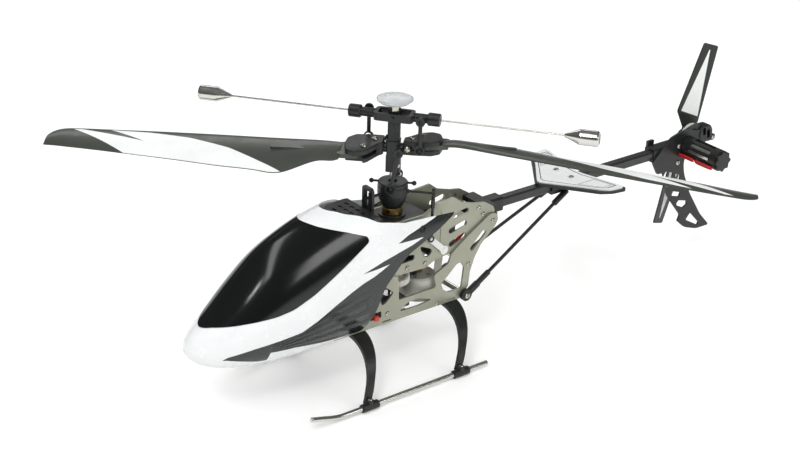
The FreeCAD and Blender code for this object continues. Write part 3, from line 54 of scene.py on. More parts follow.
# ---- canopy form: y, top, half width, bottom, widest line, peakedness of the roof (mm) ----
STATIONS = [
    (-159.5, 60.0, 1.4, 57.4, 58.8, 1.0),
    (-158.5, 62.8, 4.2, 54.8, 58.8, 1.0),
    (-155.0, 67.0, 8.6, 50.3, 58.8, 1.1),
    (-148.0, 73.0, 13.6, 46.0, 60.0, 1.2),
    (-138.0, 81.5, 18.2, 42.6, 62.5, 1.3),
    (-122.0, 97.3, 23.3, 39.8, 67.0, 1.34),
    (-104.0, 112.6, 26.8, 38.2, 71.0, 1.3),
    (-84.0, 122.2, 28.3, 37.5, 75.0, 1.2),
    (-62.0, 128.9, 28.8, 37.5, 80.0, 1.08),
    (-38.0, 132.0, 28.2, 37.5, 85.0, 0.98),
    (-10.0, 130.2, 27.0, 37.5, 90.0, 0.94),
    (20.0, 129.0, 25.4, 37.5, 94.0, 0.92),
    (50.0, 127.5, 24.0, 37.5, 97.0, 0.92),
]
INNER_NOSE = (-156.4, 64.2, 6.2, 53.2, 58.8, 1.0)
INNER_REAR = 60.0         # the inner form runs on past the shell's rear edge to here
SKIN = 1.2
ROOF_FULLNESS = 0.98      # exponents of the section above and below its widest line
FLOOR_WIDTH = 0.62
FLOOR_FULLNESS = 0.8
GLASS_PROUD = 0.22        # how far the windshield stands out of the shell
SEAM = 0.16               # half the gap between the windshield and the shell

# ---- outlines as (first, second, corner radius) in mm ----
WINDSHIELD = [
    (-149.5, 72.0, 3), (-144.3, 73.5, 10), (-127.0, 75.9, 40), (-108.0, 77.6, 40),
    (-95.8, 79.9, 30), (-80.7, 86.0, 40), (-54.6, 99.9, 60), (-36.0, 109.8, 2), (-37.0, 113.0, 2),
    (-49.9, 117.9, 20), (-67.3, 123.3, 20), (-76.0, 126.5, 4), (-95.0, 150.0, 0),
    (-170.0, 150.0, 0), (-170.0, 72.0, 0),
]
SIDE_CUT = [
    (-40.0, 30.0, 0), (-37.5, 42.0, 2), (-31.5, 55.0, 10), (-25.0, 74.0, 14), (-8.0, 92.0, 30),
    (20.0, 103.0, 40), (36.0, 110.5, 3), (32.0, 119.0, 4), (24.0, 124.5, 2), (24.0, 160.0, 0),
    (90.0, 160.0, 0), (90.0, 30.0, 0),
]
OPENING = [(0.0, -62.0, 8), (12.0, -47.0, 16), (20.0, -26.0, 20), (22.0, -6.0, 20), (22.0, 60.0, 0)]
OPENING_HEIGHTS = (100, 170)
BELLY_WIDE = [(-40, -60, 0), (40, -60, 0), (40, 70, 0), (-40, 70, 0)]
BELLY_WIDE_HEIGHTS = (30, 41.6)
BELLY_SLOT = [(-16.4, -114, 0), (16.4, -114, 0), (16.4, 70, 0), (-16.4, 70, 0)]
BELLY_SLOT_HEIGHTS = (30, 46)
CUT_REACH = 60            # side cuts run this far each way from the middle

# ---- rubber rings in the canopy's ears: section as (radius, height), place and facing ----
RING_SECTION = [(1.3, 0.4), (1.35, 1.0), (1.9, 1.25), (2.5, 1.0), (2.7, 0.3), (2.6, -0.5), (1.4, -0.7),
                (0.9, -0.7)]
RING_AT = (23.6, 7.0, 106.8)
RING_FACING = (0.86, -0.05, 0.5)

# ---- paint lines on the canopy's side, as (y, z) in mm ----
FLAME_TOP = [
    (-142.0, 53.2), (-139.0, 54.9), (-122.4, 58.2), (-106.4, 60.2), (-90.2, 62.0), (-78.5, 67.0),
    (-65.2, 74.0), (-52.6, 79.8), (-43.0, 83.4), (-34.3, 85.6), (-28.0, 88.0), (-21.6, 90.8),
    (-20.6, 95.2), (-12.8, 96.8), (-2.0, 98.8), (6.2, 101.2), (9.0, 103.0),
]
FLAME_BOTTOM = [
    (-142.0, 52.9), (-138.9, 52.4), (-119.0, 46.8), (-112.6, 46.0), (-111.6, 52.4), (-93.4, 51.0),
    (-66.6, 46.0), (-44.7, 42.6), (-30.0, 40.0),
]
SPIKE_TOP = [(-43.6, 90.0), (-26.3, 94.2), (-12.8, 96.7), (-2.0, 98.8), (6.2, 101.2)]
SPIKE_BOTTOM = [(-43.6, 90.0), (-31.7, 90.1), (-21.6, 90.8), (-20.0, 90.8), (6.2, 90.8)]
EAR_TOP = [(-13.8, 102.7), (-5.2, 106.0), (7.3, 108.9), (17.8, 111.4), (24.0, 113.8), (30.0, 124.0),
           (50.0, 125.0)]
EAR_BOTTOM = [(-13.8, 102.6), (-1.8, 101.9), (7.7, 101.7), (9.0, 96.0), (50.0, 90.0)]
RIM_BOTTOM = [(-4.0, 118.5), (8.0, 113.8), (20.0, 112.8), (26.0, 111.0), (50.0, 108.0)]
RIM_START = -4.0
FOLD_CENTRE = (-118.0, 55.0)       # the pressed folds fan out from here
FOLD_COUNT = 9.0
FOLD_ENDS = (-104.0, -38.0, 74.0)  # front, rear and top of the folded patch

# ---- blade paint: distance out along the blade, distance behind its feathering axis (mm) ----
FEATHER_AXIS = joint("blade_feather")["axis"]
BLADE_AZIMUTH = math.degrees(math.atan2(FEATHER_AXIS[1], FEATHER_AXIS[0]))
BLADE_ARC = [
    (60.0, 37.0), (69.4, 32.5), (86.9, 22.4), (106.6, 10.7), (135.0, -1.4), (163.7, -9.5),
    (192.2, -14.2), (240.0, -18.0),
]
PANEL_START = 64.0
PANEL_TIP = (193.9, 1.47)          # the tip line's place on the axis, and its slant
WEDGE_UPPER = (215.5, -17.0, 0.366)  # a point and a slope for each side of the thin dark wedge
WEDGE_LOWER = (193.5, -15.2, 0.586)
WEDGE_POINT = 165.0
PRINT_BLUR = 0.3                   # softness of a printed edge on the blades

# ---- tail rotor paint: the blades' lean from upright, and distances along and across a blade (mm) ----
TAIL_SHAFT = [value / MM for value in joint("tail_rotor_spin")["pos_m"]]
TAIL_LEAN = 14.0
TAIL_PANEL = (17.0, 67.5)
TAIL_SLANT = 0.18                  # how far the panel's inner end slants
TAIL_FORE = [(17.0, 9.0), (68.0, -1.6)]
TAIL_AFT = [(17.0, -7.4), (68.0, -2.2)]

# ---- stabilizer cover paint: front and back edges as (distance from the middle, y) in mm ----
COVER_FRONT = [(0.0, 131.6), (2.0, 131.9), (22.0, 147.4), (33.4, 156.2), (37.0, 161.5), (38.4, 168.0)]
COVER_BACK = [(0.0, 163.6), (9.0, 164.4), (32.0, 171.0), (38.4, 172.0)]
BORDER_INSET = 1.8
BORDER_HALF = 0.42
BORDER_END = 36.0
END_INSET = 1.5                    # the end strokes stop this far inside the edges
TIP_BOX = (19.5, 34.0, 3.4, 3.0)   # from, to, inset at the front, inset at the back
TIP_BOX_LINE = 0.6
TIP_BOX_INK = 0.85

# ---- paint colours ----
CANOPY_WHITE = (0.78, 0.80, 0.80)
CANOPY_BLACK = (0.017, 0.021, 0.019)
# painted shade in the grooves of the canopy's pressed folds
CREASE_PAINTED_SHADE = (0.003, 0.004, 0.004)
GLASS_BLACK = (0.004, 0.005, 0.005)
# painted glint on the windshield's scuffs
GLASS_PAINTED_GLINT = (0.2, 0.22, 0.26)
BLADE_BLACK = (0.046, 0.052, 0.042)
BLADE_WHITE = (0.80, 0.82, 0.81)
COVER_WHITE = (0.74, 0.76, 0.75)
COVER_INK = (0.03, 0.033, 0.03)
TAIL_BLACK = (0.016, 0.019, 0.017)
TAIL_WHITE = (0.78, 0.80, 0.78)
DUST_COLOR = (0.45, 0.44, 0.42)

# ---- the viewpoint: place in metres, angles in degrees ----
CAMERA_AT = (0.8038, -0.6225, 0.5881)
CAMERA_AZIMUTH = 51.927          # 0 looks along +Y
CAMERA_ELEVATION = 25.690        # above the horizon, looking down
CAMERA_ROLL = 1.710
SENSOR_MM = 36.0
LENS_MM = 76.66

# ---- studio: light from all round, and how bright the room looks in reflections ----
WORLD_LIGHT = 0.80
ROOM_DIM = 0.05
ROOM_TOP = 0.16
ROOM_HEIGHTS = (-0.1, 0.9)
FLOOR_SIZE = 14.0
FLOOR_GLOW = 0.16

# ---- lamps: name, place and aim in metres, size in metres, watts, options ----
LIGHTS = [
    ("key", (0.9, -1.3, 1.7), (0.0, -0.05, 0.08), (0.5, 0.5), 9, {"glossy": False}),
    ("ridge card", (0.28, -0.46, 1.26), (0.01, -0.09, 0.11), (0.2, 1.25), 3.2, {"spin": 30.0}),
    ("side card", (1.10, 0.36, 0.62), (0.02, -0.06, 0.11), (0.62, 0.36), 3.0, {}),
    ("sparkle", (0.56, -0.77, 0.94), (0.014, -0.115, 0.095), (0.08, 0.08), 0.45, {}),
    ("back card", (-1.1, 0.5, 0.9), (0.0, 0.0, 0.12), (1.2, 0.3), 2.5, {}),
]


# ---- node graphs ----
class Graph:
    """A small wrapper that makes shader nodes and joins them."""

    def __init__(self, name):
        self.material = bpy.data.materials.new(name)
        self.material.use_nodes = True
        self.tree = self.material.node_tree
        self.tree.nodes.clear()
        self.output = self.tree.nodes.new("ShaderNodeOutputMaterial")
        self.shader = self.tree.nodes.new("ShaderNodeBsdfPrincipled")
        self.tree.links.new(self.shader.outputs[0], self.output.inputs[0])

    def put(self, socket, value):
        if isinstance(value, bpy.types.NodeSocket):
            self.tree.links.new(value, socket)
        elif isinstance(value, (tuple, list)) and len(value) == 3 and socket.type == "RGBA":
            socket.default_value = (*value, 1.0)
        else:
            socket.default_value = value

    def node(self, kind, out=0, settings=None, **values):
        """Adds a node. Values go to inputs by name, or by number as i0, i1 and so on."""
        made = self.tree.nodes.new(kind)
        for key, value in (settings or {}).items():
            setattr(made, key, value)
        for key, value in values.items():
            numbered = key[0] == "i" and key[1:].isdigit()
            self.put(made.inputs[int(key[1:]) if numbered else key], value)
        return made.outputs[out]

    def math(self, operation, a, b=0.0, clamp=False):
        settings = {"operation": operation, "use_clamp": clamp}
        return self.node("ShaderNodeMath", settings=settings, i0=a, i1=b)

    def mix(self, factor, a, b):
        made = self.tree.nodes.new("ShaderNodeMix")
        made.data_type = "RGBA"
        self.put(made.inputs[0], factor)
        self.put(made.inputs[6], a)
        self.put(made.inputs[7], b)
        return made.outputs[2]

    def place(self):
        """The point's place in metres, in the frame all pieces share at rest."""
        return self.node("ShaderNodeTexCoord", out=3)

    def place_mm(self):
        """The point's x, y and z in mm."""
        return self.apart(self.place())

    def apart(self, vector):
        """The three parts of a vector in metres, in mm."""
        split = self.tree.nodes.new("ShaderNodeSeparateXYZ")
        self.put(split.inputs[0], vector)
        return [self.math("DIVIDE", split.outputs[i], MM) for i in range(3)]

    def noise(self, scale, detail):
        place = self.place()
        return self.node("ShaderNodeTexNoise", Vector=place, Scale=scale, Detail=detail, Roughness=0.55)

    def stretched_noise(self, scale, detail, rough):
        """Noise drawn out into lines by a different scale along each axis."""
        stretched = self.node("ShaderNodeMapping", Vector=self.place(), Scale=scale)
        return self.node("ShaderNodeTexNoise", Vector=stretched, Scale=1.0, Detail=detail, Roughness=rough)

    def span(self, value, low, high, to_low, to_high):
        """Maps low..high to to_low..to_high, held at both ends."""
        return self.node("ShaderNodeMapRange", Value=value, i1=low, i2=high, i3=to_low, i4=to_high)

    def bump(self, height, strength, distance, normal=None):
        made = self.tree.nodes.new("ShaderNodeBump")
        self.put(made.inputs["Strength"], strength)
        self.put(made.inputs["Distance"], distance)
        self.put(made.inputs["Height"], height)
        if normal:
            self.put(made.inputs["Normal"], normal)
        return made.outputs[0]

    def curve(self, value, points):
        """Looks up a piecewise line through points of (input, output)."""
        xs, ys = [p[0] for p in points], [p[1] for p in points]
        low, high = min(ys), max(ys)
        made = self.tree.nodes.new("ShaderNodeFloatCurve")
        self.put(made.inputs["Value"], self.span(value, xs[0], xs[-1], 0.0, 1.0))
        line = made.mapping.curves[0]
        scaled = [((x - xs[0]) / (xs[-1] - xs[0]), (y - low) / (high - low)) for x, y in points]
        line.points[0].location = scaled[0]
        line.points[1].location = scaled[-1]
        for spot in scaled[1:-1]:
            line.points.new(*spot)
        for point in line.points:
            point.handle_type = "VECTOR"
        made.mapping.update()
        return self.span(made.outputs[0], 0.0, 1.0, low, high)

    def below(self, value, limit, blur=0.12):
        """1 where value is under limit, with an edge blur wide."""
        depth = self.math("DIVIDE", self.math("SUBTRACT", limit, value), blur)
        return self.math("ADD", depth, 0.5, clamp=True)

    def invert(self, mask):
        return self.math("SUBTRACT", 1.0, mask)

    def all_of(self, *masks):
        result = masks[0]
        for mask in masks[1:]:
            result = self.math("MULTIPLY", result, mask)
        return result

    def any_of(self, *masks):
        result = masks[0]
        for mask in masks[1:]:
            result = self.math("MAXIMUM", result, mask)
        return result

    def edges(self, radius):
        """1 on sharp outer edges, 0 on flats, from the difference between the bevelled and true normals."""
        soft = self.node("ShaderNodeBevel", settings={"samples": 4}, Radius=radius)
        true = self.node("ShaderNodeNewGeometry", out=1)
        dot = self.tree.nodes.new("ShaderNodeVectorMath")
        dot.operation = "DOT_PRODUCT"
        self.put(dot.inputs[0], soft)
        self.put(dot.inputs[1], true)
        return self.span(dot.outputs["Value"], 0.985, 0.86, 0.0, 1.0)

    def add_relief(self, height, strength, distance):
        """Lays another bump over the one the surface already has."""
        socket = self.shader.inputs["Normal"]
        self.put(socket, self.bump(height, strength, distance, socket.links[0].from_socket))


# ---- finishes ----
COAT_ROUGHNESS = 0.06
WEAR_RADIUS = 0.0004      # metres from an edge that wear reaches


def varied(g, color, cloud, shade, vary):
    """A base colour made lighter and darker in soft clouds."""
    if isinstance(color, bpy.types.NodeSocket):
        return g.node("ShaderNodeVectorMath", settings={"operation": "SCALE"}, i0=color, Scale=shade)
    darker = tuple(c * (1 - vary) for c in color)
    lighter = tuple(min(1.0, c * (1 + vary)) for c in color)
    return g.mix(g.span(cloud, 0.3, 0.7, 0.0, 1.0), darker, lighter)


def finish_surface(g, color, rough, metal=0.0, vary=0.08, grain=900.0, grain_depth=0.00002, wear=0.0,
                   wear_color=(0.5, 0.5, 0.5), coat=0.0, dust=0.0):
    """Adds colour variation, roughness variation, fine bump and edge wear to a base colour."""
    cloud = g.noise(38.0, 3.0)
    fine = g.noise(grain, 3.0)
    soft = g.span(cloud, 0.3, 0.7, 1.0 - vary, 1.0 + vary)
    shade = g.math("ADD", soft, g.span(fine, 0.3, 0.7, -vary / 3, vary / 3))
    tone = varied(g, color, cloud, shade, vary)
    patches = g.span(g.noise(120.0, 4.0), 0.3, 0.7, rough - 0.05, rough + 0.07)
    roughness = g.math("ADD", patches, g.span(fine, 0.3, 0.7, -0.02, 0.02), clamp=True)
    if wear > 0:
        chips = g.span(g.noise(420.0, 5.0), 0.42, 0.66, 0.0, wear)
        worn = g.math("MULTIPLY", g.edges(WEAR_RADIUS), chips, clamp=True)
        tone = g.mix(worn, tone, wear_color)
        roughness = g.math("ADD", roughness, g.math("MULTIPLY", worn, 0.12), clamp=True)
    if dust > 0:
        up = g.node("ShaderNodeSeparateXYZ", out=2, Vector=g.node("ShaderNodeNewGeometry", out=1))
        specks = g.span(g.noise(260.0, 6.0), 0.4, 0.7, 0.2, 1.0)
        settled = g.math("MULTIPLY", g.span(up, 0.5, 1.0, 0.0, dust), specks)
        tone = g.mix(settled, tone, DUST_COLOR)
    g.put(g.shader.inputs["Base Color"], tone)
    g.put(g.shader.inputs["Roughness"], roughness)
    g.put(g.shader.inputs["Metallic"], metal)
    g.put(g.shader.inputs["Coat Weight"], coat)
    g.put(g.shader.inputs["Coat Roughness"], COAT_ROUGHNESS)
    g.put(g.shader.inputs["Normal"], g.bump(fine, 0.35, grain_depth))
    return g.material


def plain(name, color, rough, **more):
    """One material with no pattern of its own beyond the shared finish."""
    return finish_surface(Graph(name), color, rough, **more)


def brushed(name, color, rough, axis_scale, **more):
    """Metal with fine lines along one direction."""
    g = Graph(name)
    lines = g.stretched_noise(axis_scale, 5.0, 0.7)
    material = finish_surface(g, color, rough, metal=1.0, **more)
    g.add_relief(lines, 0.25, 0.00003)
    return material


def frame_sheet():
    """Champagne-grey anodised sheet: satin, with a faint vertical rolling grain and bright worn rims."""
    g = Graph("frame_sheet")
    rolled = g.stretched_noise((900.0, 60.0, 900.0), 4.0, 0.65)
    material = finish_surface(g, (0.37, 0.375, 0.30), 0.36, metal=0.62, vary=0.05, grain=1500.0, wear=0.55,
                              wear_color=(0.62, 0.62, 0.55), dust=0.05)
    g.add_relief(rolled, 0.18, 0.00003)
    return material


def moulded(name, color=(0.011, 0.013, 0.012), rough=0.36, **more):
    """Black moulded plastic with scuffed rims."""
    settings = dict(vary=0.16, grain=1300.0, grain_depth=0.00004, wear=0.35,
                    wear_color=(0.075, 0.08, 0.075), dust=0.02)
    settings.update(more)
    return plain(name, color, rough, **settings)


# ---- painted patterns ----
def band(g, along, across, top, bottom, first=None, last=None):
    """1 between two lines, from the first to the last position along them."""
    mask = g.all_of(g.below(across, g.curve(along, top)), g.below(g.curve(along, bottom), across))
    if first is not None:
        mask = g.all_of(mask, g.below(first, along))
    if last is not None:
        mask = g.all_of(mask, g.below(along, last))
    return mask


def canopy_paint():
    """White gloss with dark swept flames on the side, and folds pressed into the dark part, with painted shade
    darkening the grooves of the folds.
    """
    g = Graph("canopy_paint")
    _, y, z = g.place_mm()
    flame = band(g, y, z, FLAME_TOP, FLAME_BOTTOM, FLAME_TOP[0][0], FLAME_TOP[-1][0])
    spike = band(g, y, z, SPIKE_TOP, SPIKE_BOTTOM, SPIKE_TOP[0][0], SPIKE_TOP[-1][0])
    ear = band(g, y, z, EAR_TOP, EAR_BOTTOM, EAR_TOP[0][0])
    rim = g.all_of(g.below(g.curve(y, RIM_BOTTOM), z), g.below(RIM_START, y))
    dark = g.any_of(flame, spike, ear, rim)
    fold_y, fold_z = FOLD_CENTRE
    slope = g.math("DIVIDE", g.math("SUBTRACT", z, fold_z), g.math("SUBTRACT", y, fold_y))
    folds = g.math("PINGPONG", g.math("ADD", g.math("MULTIPLY", slope, FOLD_COUNT), 0.1), 0.5)
    front, rear, top = FOLD_ENDS
    zone = g.all_of(flame, g.below(y, rear, 8.0), g.below(front, y, 20.0), g.below(z, top, 6.0))
    # painted shade: the fold grooves are drawn in a deeper black than the rest of the flame paint
    painted_crease_shade = g.all_of(zone, g.span(folds, 0.02, 0.16, 1.0, 0.0))
    black = g.mix(painted_crease_shade, CANOPY_BLACK, CREASE_PAINTED_SHADE)
    tone = g.mix(dark, CANOPY_WHITE, black)
    material = finish_surface(g, tone, 0.24, vary=0.025, grain=700.0, grain_depth=0.00001, coat=0.3)
    g.add_relief(g.all_of(zone, g.span(folds, 0.0, 0.5, 0.0, 1.0)), 0.8, 0.0012)
    return material


def smoked_glass():
    """Nearly black tinted plastic with uneven gloss, and faint pale bluish patches along the scuffs that are a
    painted glint.
    """
    g = Graph("smoked_glass")
    scuffs = g.stretched_noise((2400.0, 2400.0, 500.0), 8.0, 0.8)
    near = g.span(g.noise(26.0, 2.0), 0.5, 0.62, 0.0, 1.0)
    # painted glint: pale bluish colour mixed into the near-black base along the brightest scuffs, in a few patches
    sparkle = g.all_of(g.span(scuffs, 0.62, 0.7, 0.0, 1.0), near)
    tone = g.mix(g.math("MULTIPLY", sparkle, 0.12), GLASS_BLACK, GLASS_PAINTED_GLINT)
    material = finish_surface(g, tone, 0.12, vary=0.1, grain=500.0, grain_depth=0.000004)
    g.put(g.shader.inputs["Roughness"], g.span(scuffs, 0.4, 0.75, 0.10, 0.26))
    return material


def sloped(g, value, line):
    """A straight line through (at, height), falling by its slope as value grows."""
    at, height, slope = line
    return g.math("ADD", height, g.math("MULTIPLY", g.math("SUBTRACT", at, value), slope))


def blade_paint(name, azimuth):
    """Dark blade with a white panel cut by a slanted tip line, an arc and one thin dark wedge."""
    g = Graph(name)
    turned = g.node("ShaderNodeVectorRotate", settings={"rotation_type": "Z_AXIS"}, Vector=g.place(),
                    Angle=math.radians(-azimuth))
    out, back, _ = g.apart(turned)
    blur = PRINT_BLUR
    tip_line = g.math("SUBTRACT", PANEL_TIP[0], g.math("MULTIPLY", back, PANEL_TIP[1]))
    panel = g.all_of(g.below(g.curve(out, BLADE_ARC), back, blur), g.below(out, tip_line, blur),
                     g.below(PANEL_START, out, blur))
    wedge = g.all_of(g.below(back, sloped(g, out, WEDGE_UPPER), blur),
                     g.below(sloped(g, out, WEDGE_LOWER), back, blur), g.below(WEDGE_POINT, out, blur))
    normal = g.node("ShaderNodeSeparateXYZ", out=2, Vector=g.node("ShaderNodeNewGeometry", out=1))
    top_side = g.span(normal, 0.0, 0.2, 0.0, 1.0)
    edge_line = g.span(g.edges(0.0007), 0.2, 0.6, 1.0, 0.0)
    white = g.all_of(panel, g.invert(wedge), top_side, edge_line)
    tone = g.mix(white, BLADE_BLACK, BLADE_WHITE)
    return finish_surface(g, tone, 0.34, vary=0.06, grain=1100.0, grain_depth=0.00002, coat=0.15)


def cover_paint():
    """White stabilizer cover with a thin dark inner border and a small outlined shape near each tip."""
    g = Graph("cover_paint")
    x, y, _ = g.place_mm()
    side = g.math("ABSOLUTE", x)
    ahead = g.math("SUBTRACT", y, g.curve(side, COVER_FRONT))
    behind = g.math("SUBTRACT", g.curve(side, COVER_BACK), y)
    inset = g.math("MINIMUM", ahead, behind)
    off_border = g.math("ABSOLUTE", g.math("SUBTRACT", inset, BORDER_INSET))
    border = g.all_of(g.below(off_border, BORDER_HALF), g.below(side, BORDER_END + BORDER_HALF))
    off_end = g.math("ABSOLUTE", g.math("SUBTRACT", side, BORDER_END))
    end = g.all_of(g.below(off_end, BORDER_HALF), g.below(END_INSET, inset))

    def tip_shape(shrink):
        near, far, fore, aft = TIP_BOX
        return g.all_of(g.below(near + shrink, side), g.below(side, far - shrink),
                        g.below(fore + shrink, ahead), g.below(aft + shrink, behind))

    outline = g.all_of(tip_shape(0.0), g.invert(tip_shape(TIP_BOX_LINE)))
    ink = g.any_of(border, end, g.math("MULTIPLY", outline, TIP_BOX_INK))
    tone = g.mix(ink, COVER_WHITE, COVER_INK)
    return finish_surface(g, tone, 0.25, vary=0.03, grain=900.0, grain_depth=0.00001, coat=0.4)


def tail_blade_paint():
    """Black tail blade with a long white triangle on each blade's outer face."""
    g = Graph("tail_blade_paint")
    _, y, z = g.place_mm()
    dy = g.math("SUBTRACT", y, TAIL_SHAFT[1])
    dz = g.math("SUBTRACT", z, TAIL_SHAFT[2])
    turn = math.radians(90 - TAIL_LEAN)
    c, s = math.cos(turn), math.sin(turn)
    along = g.math("ADD", g.math("MULTIPLY", dy, c), g.math("MULTIPLY", dz, s))
    across = g.math("SUBTRACT", g.math("MULTIPLY", dz, c), g.math("MULTIPLY", dy, s))
    flip = g.math("SIGN", along)
    along, across = g.math("ABSOLUTE", along), g.math("MULTIPLY", across, flip)
    blur = PRINT_BLUR
    start, end = TAIL_PANEL
    slant = g.math("ADD", start, g.math("MULTIPLY", across, TAIL_SLANT))
    white = g.all_of(g.below(across, g.curve(along, TAIL_FORE), blur),
                     g.below(g.curve(along, TAIL_AFT), across, blur),
                     g.below(slant, along, blur), g.below(along, end, blur))
    tone = g.mix(white, TAIL_BLACK, TAIL_WHITE)
    return finish_surface(g, tone, 0.33, vary=0.07, grain=1100.0, grain_depth=0.00002)


def milky():
    """Half-clear white plastic."""
    g = Graph("milky_disc")
    material = finish_surface(g, (0.78, 0.81, 0.82), 0.22, vary=0.04, grain=700.0, grain_depth=0.00001)
    g.put(g.shader.inputs["Transmission Weight"], 0.55)
    g.put(g.shader.inputs["IOR"], 1.4)
    return material


def board_green():
    """Green board with thin gold tracks."""
    g = Graph("board_green")
    tracks = g.node("ShaderNodeTexBrick", out=1, Vector=g.place(), Scale=260.0)
    tone = g.mix(g.span(tracks, 0.0, 1.0, 0.0, 0.7), (0.01, 0.09, 0.035), (0.25, 0.2, 0.05))
    return finish_surface(g, tone, 0.35, vary=0.1)


def build_metals():
    return {
        "frame_metal": frame_sheet(),
        "bright_metal": brushed("nickel", (0.74, 0.73, 0.69), 0.17, (700.0, 700.0, 80.0), vary=0.04,
                                wear=0.2, wear_color=(0.85, 0.84, 0.8)),
        "screw_steel": brushed("screw_steel", (0.62, 0.60, 0.52), 0.24, (900.0, 900.0, 900.0), vary=0.08,
                               wear=0.4, wear_color=(0.8, 0.79, 0.74)),
        "bearing_steel": brushed("ground_steel", (0.6, 0.6, 0.6), 0.22, (1400.0, 1400.0, 90.0), vary=0.05,
                                 wear=0.2),
        "brass_gear": brushed("brass", (0.56, 0.37, 0.13), 0.3, (200.0, 200.0, 2600.0), vary=0.05, wear=0.12,
                              wear_color=(0.72, 0.52, 0.24)),
        "motor_can": plain("motor_can", (0.46, 0.46, 0.41), 0.38, metal=0.25, vary=0.06, wear=0.4,
                           wear_color=(0.5, 0.5, 0.48), grain=1600.0),
    }


def build_blacks():
    return {
        "dark_metal": moulded("dark_anodised", (0.016, 0.018, 0.017), 0.3, coat=0.25),
        "black_plastic": moulded("black_moulded"),
        "black_gear": moulded("gear_black", rough=0.45),
        "servo_case": moulded("servo_case", (0.02, 0.022, 0.024), 0.25),
    }


def build_plastics():
    return {
        "white_plastic": plain("white_nylon", (0.74, 0.75, 0.72), 0.38, vary=0.04, wear=0.2,
                               wear_color=(0.5, 0.5, 0.48)),
        "white_gear": plain("nylon_gear", (0.7, 0.68, 0.62), 0.42, vary=0.06, wear=0.3,
                            wear_color=(0.4, 0.38, 0.34)),
        "battery_sleeve": plain("battery_sleeve", (0.02, 0.035, 0.12), 0.28, vary=0.12, coat=0.3),
        "red_plastic": plain("red_plastic", (0.60, 0.045, 0.03), 0.33, vary=0.08, wear=0.3,
                             wear_color=(0.75, 0.2, 0.15)),
        "red_wire": plain("red_wire", (0.42, 0.012, 0.012), 0.4, vary=0.1, grain=500.0),
        "board_green": board_green(),
        "clear_white": milky(),
        "tinted_window": smoked_glass(),
    }


def build_paints():
    return {
        "white_gloss": canopy_paint(),
        "black_gloss": tail_blade_paint(),
        "blade_dark": blade_paint("blade_b_paint", BLADE_AZIMUTH),
    }


# ---- shapes ----
def corner_arc(before, here, after, radius, steps=6):
    """Points along the arc that rounds one corner, made smaller where the sides are too short for it."""
    a, b = before - here, after - here
    room = 0.49 * min(a.length, b.length)
    a.normalize()
    b.normalize()
    half = a.angle(b) / 2
    if radius <= 0 or half > math.radians(88):
        return [here]
    cut = min(radius / math.tan(half), room)
    arc_r = cut * math.tan(half)
    centre = here + (a + b).normalized() * (arc_r / math.sin(half))
    start, end = here + a * cut - centre, here + b * cut - centre
    total = start.angle(end)
    points = []
    for i in range(steps + 1):
        t = i / steps
        swept = start * math.sin((1 - t) * total) + end * math.sin(t * total)
        points.append(centre + swept / math.sin(total))
    return points


def rounded(points):
    """An outline with each corner rounded by its own radius."""
    flat = [Vector((p[0], p[1])) for p in points]
    count = len(flat)
    result = []
    for i in range(count):
        result += corner_arc(flat[i - 1], flat[i], flat[(i + 1) % count], points[i][2])
    return result


def mirrored(points):
    """Half an outline, from the middle out, joined to its mirror image."""
    return list(points) + [(-x, y, radius) for x, y, radius in reversed(points) if x > 0]


def make_object(name, bm):
    """Turns finished mesh data into an object, with its faces turned outwards."""
    mesh = bpy.data.meshes.new(name)
    bmesh.ops.recalc_face_normals(bm, faces=bm.faces)
    bm.to_mesh(mesh)
    bm.free()
    obj = bpy.data.objects.new(name, mesh)
    bpy.context.scene.collection.objects.link(obj)
    return obj


def prism(name, outline, low, high, axis):
    """A closed prism. axis "x" reads the outline as (y, z), axis "z" reads it as (x, y)."""
    bm = bmesh.new()

    def corners(height):
        if axis == "x":
            return [bm.verts.new(Vector((height, p.x, p.y)) * MM) for p in outline]
        return [bm.verts.new(Vector((p.x, p.y, height)) * MM) for p in outline]

    bottom, top = corners(low), corners(high)
    bm.faces.new(bottom)
    bm.faces.new(list(reversed(top)))
    for i in range(len(outline)):
        j = (i + 1) % len(outline)
        bm.faces.new((bottom[i], top[i], top[j], bottom[j]))
    return make_object(name, bm)


def hermite(t, start, start_slope, end, end_slope):
    """The cubic through two values with the given slopes, at t from 0 to 1."""
    return ((2 * t ** 3 - 3 * t ** 2 + 1) * start + (t ** 3 - 2 * t ** 2 + t) * start_slope
            + (-2 * t ** 3 + 3 * t ** 2) * end + (t ** 3 - t ** 2) * end_slope)


def smooth_rows(rows, per_gap):
    """Catmull-Rom interpolation down a table of stations."""
    last = len(rows) - 1
    result = []
    for i in range(last):
        before, here, ahead, beyond = rows[max(i - 1, 0)], rows[i], rows[i + 1], rows[min(i + 2, last)]
        gap = ahead[0] - here[0]
        for k in range(per_gap):
            line = []
            for a, b, c, d in zip(before, here, ahead, beyond):
                slope_here = (c - a) * gap / (ahead[0] - before[0])
                slope_ahead = (d - b) * gap / (beyond[0] - here[0])
                line.append(hermite(k / per_gap, b, slope_here, c, slope_ahead))
            result.append(tuple(line))
    result.append(tuple(rows[-1]))
    return result


def canopy_ring(row, skin, count):
    """One closed cross-section of the canopy, starting at its widest point and going over the top."""
    y, top, half, bottom, widest, peak = row
    top, half, bottom = top - skin, half - skin, bottom + skin
    points = []
    for k in range(count):
        angle = 2 * math.pi * k / count
        across, up = math.cos(angle), math.sin(angle)
        if up >= 0:
            x = half * abs(across) ** peak
            z = widest + (top - widest) * up ** ROOF_FULLNESS
        else:
            x = half * abs(across) ** FLOOR_WIDTH
            z = widest - (widest - bottom) * abs(up) ** FLOOR_FULLNESS
        points.append((math.copysign(x, across), y, z))
    return points


def join_rings(bm, rings):
    """Joins a row of closed rings into a tube and caps its two ends."""
    for a, b in zip(rings, rings[1:]):
        for i in range(len(a)):
            j = (i + 1) % len(a)
            bm.faces.new((a[i], a[j], b[j], b[i]))
    bm.faces.new(rings[0])
    bm.faces.new(list(reversed(rings[-1])))


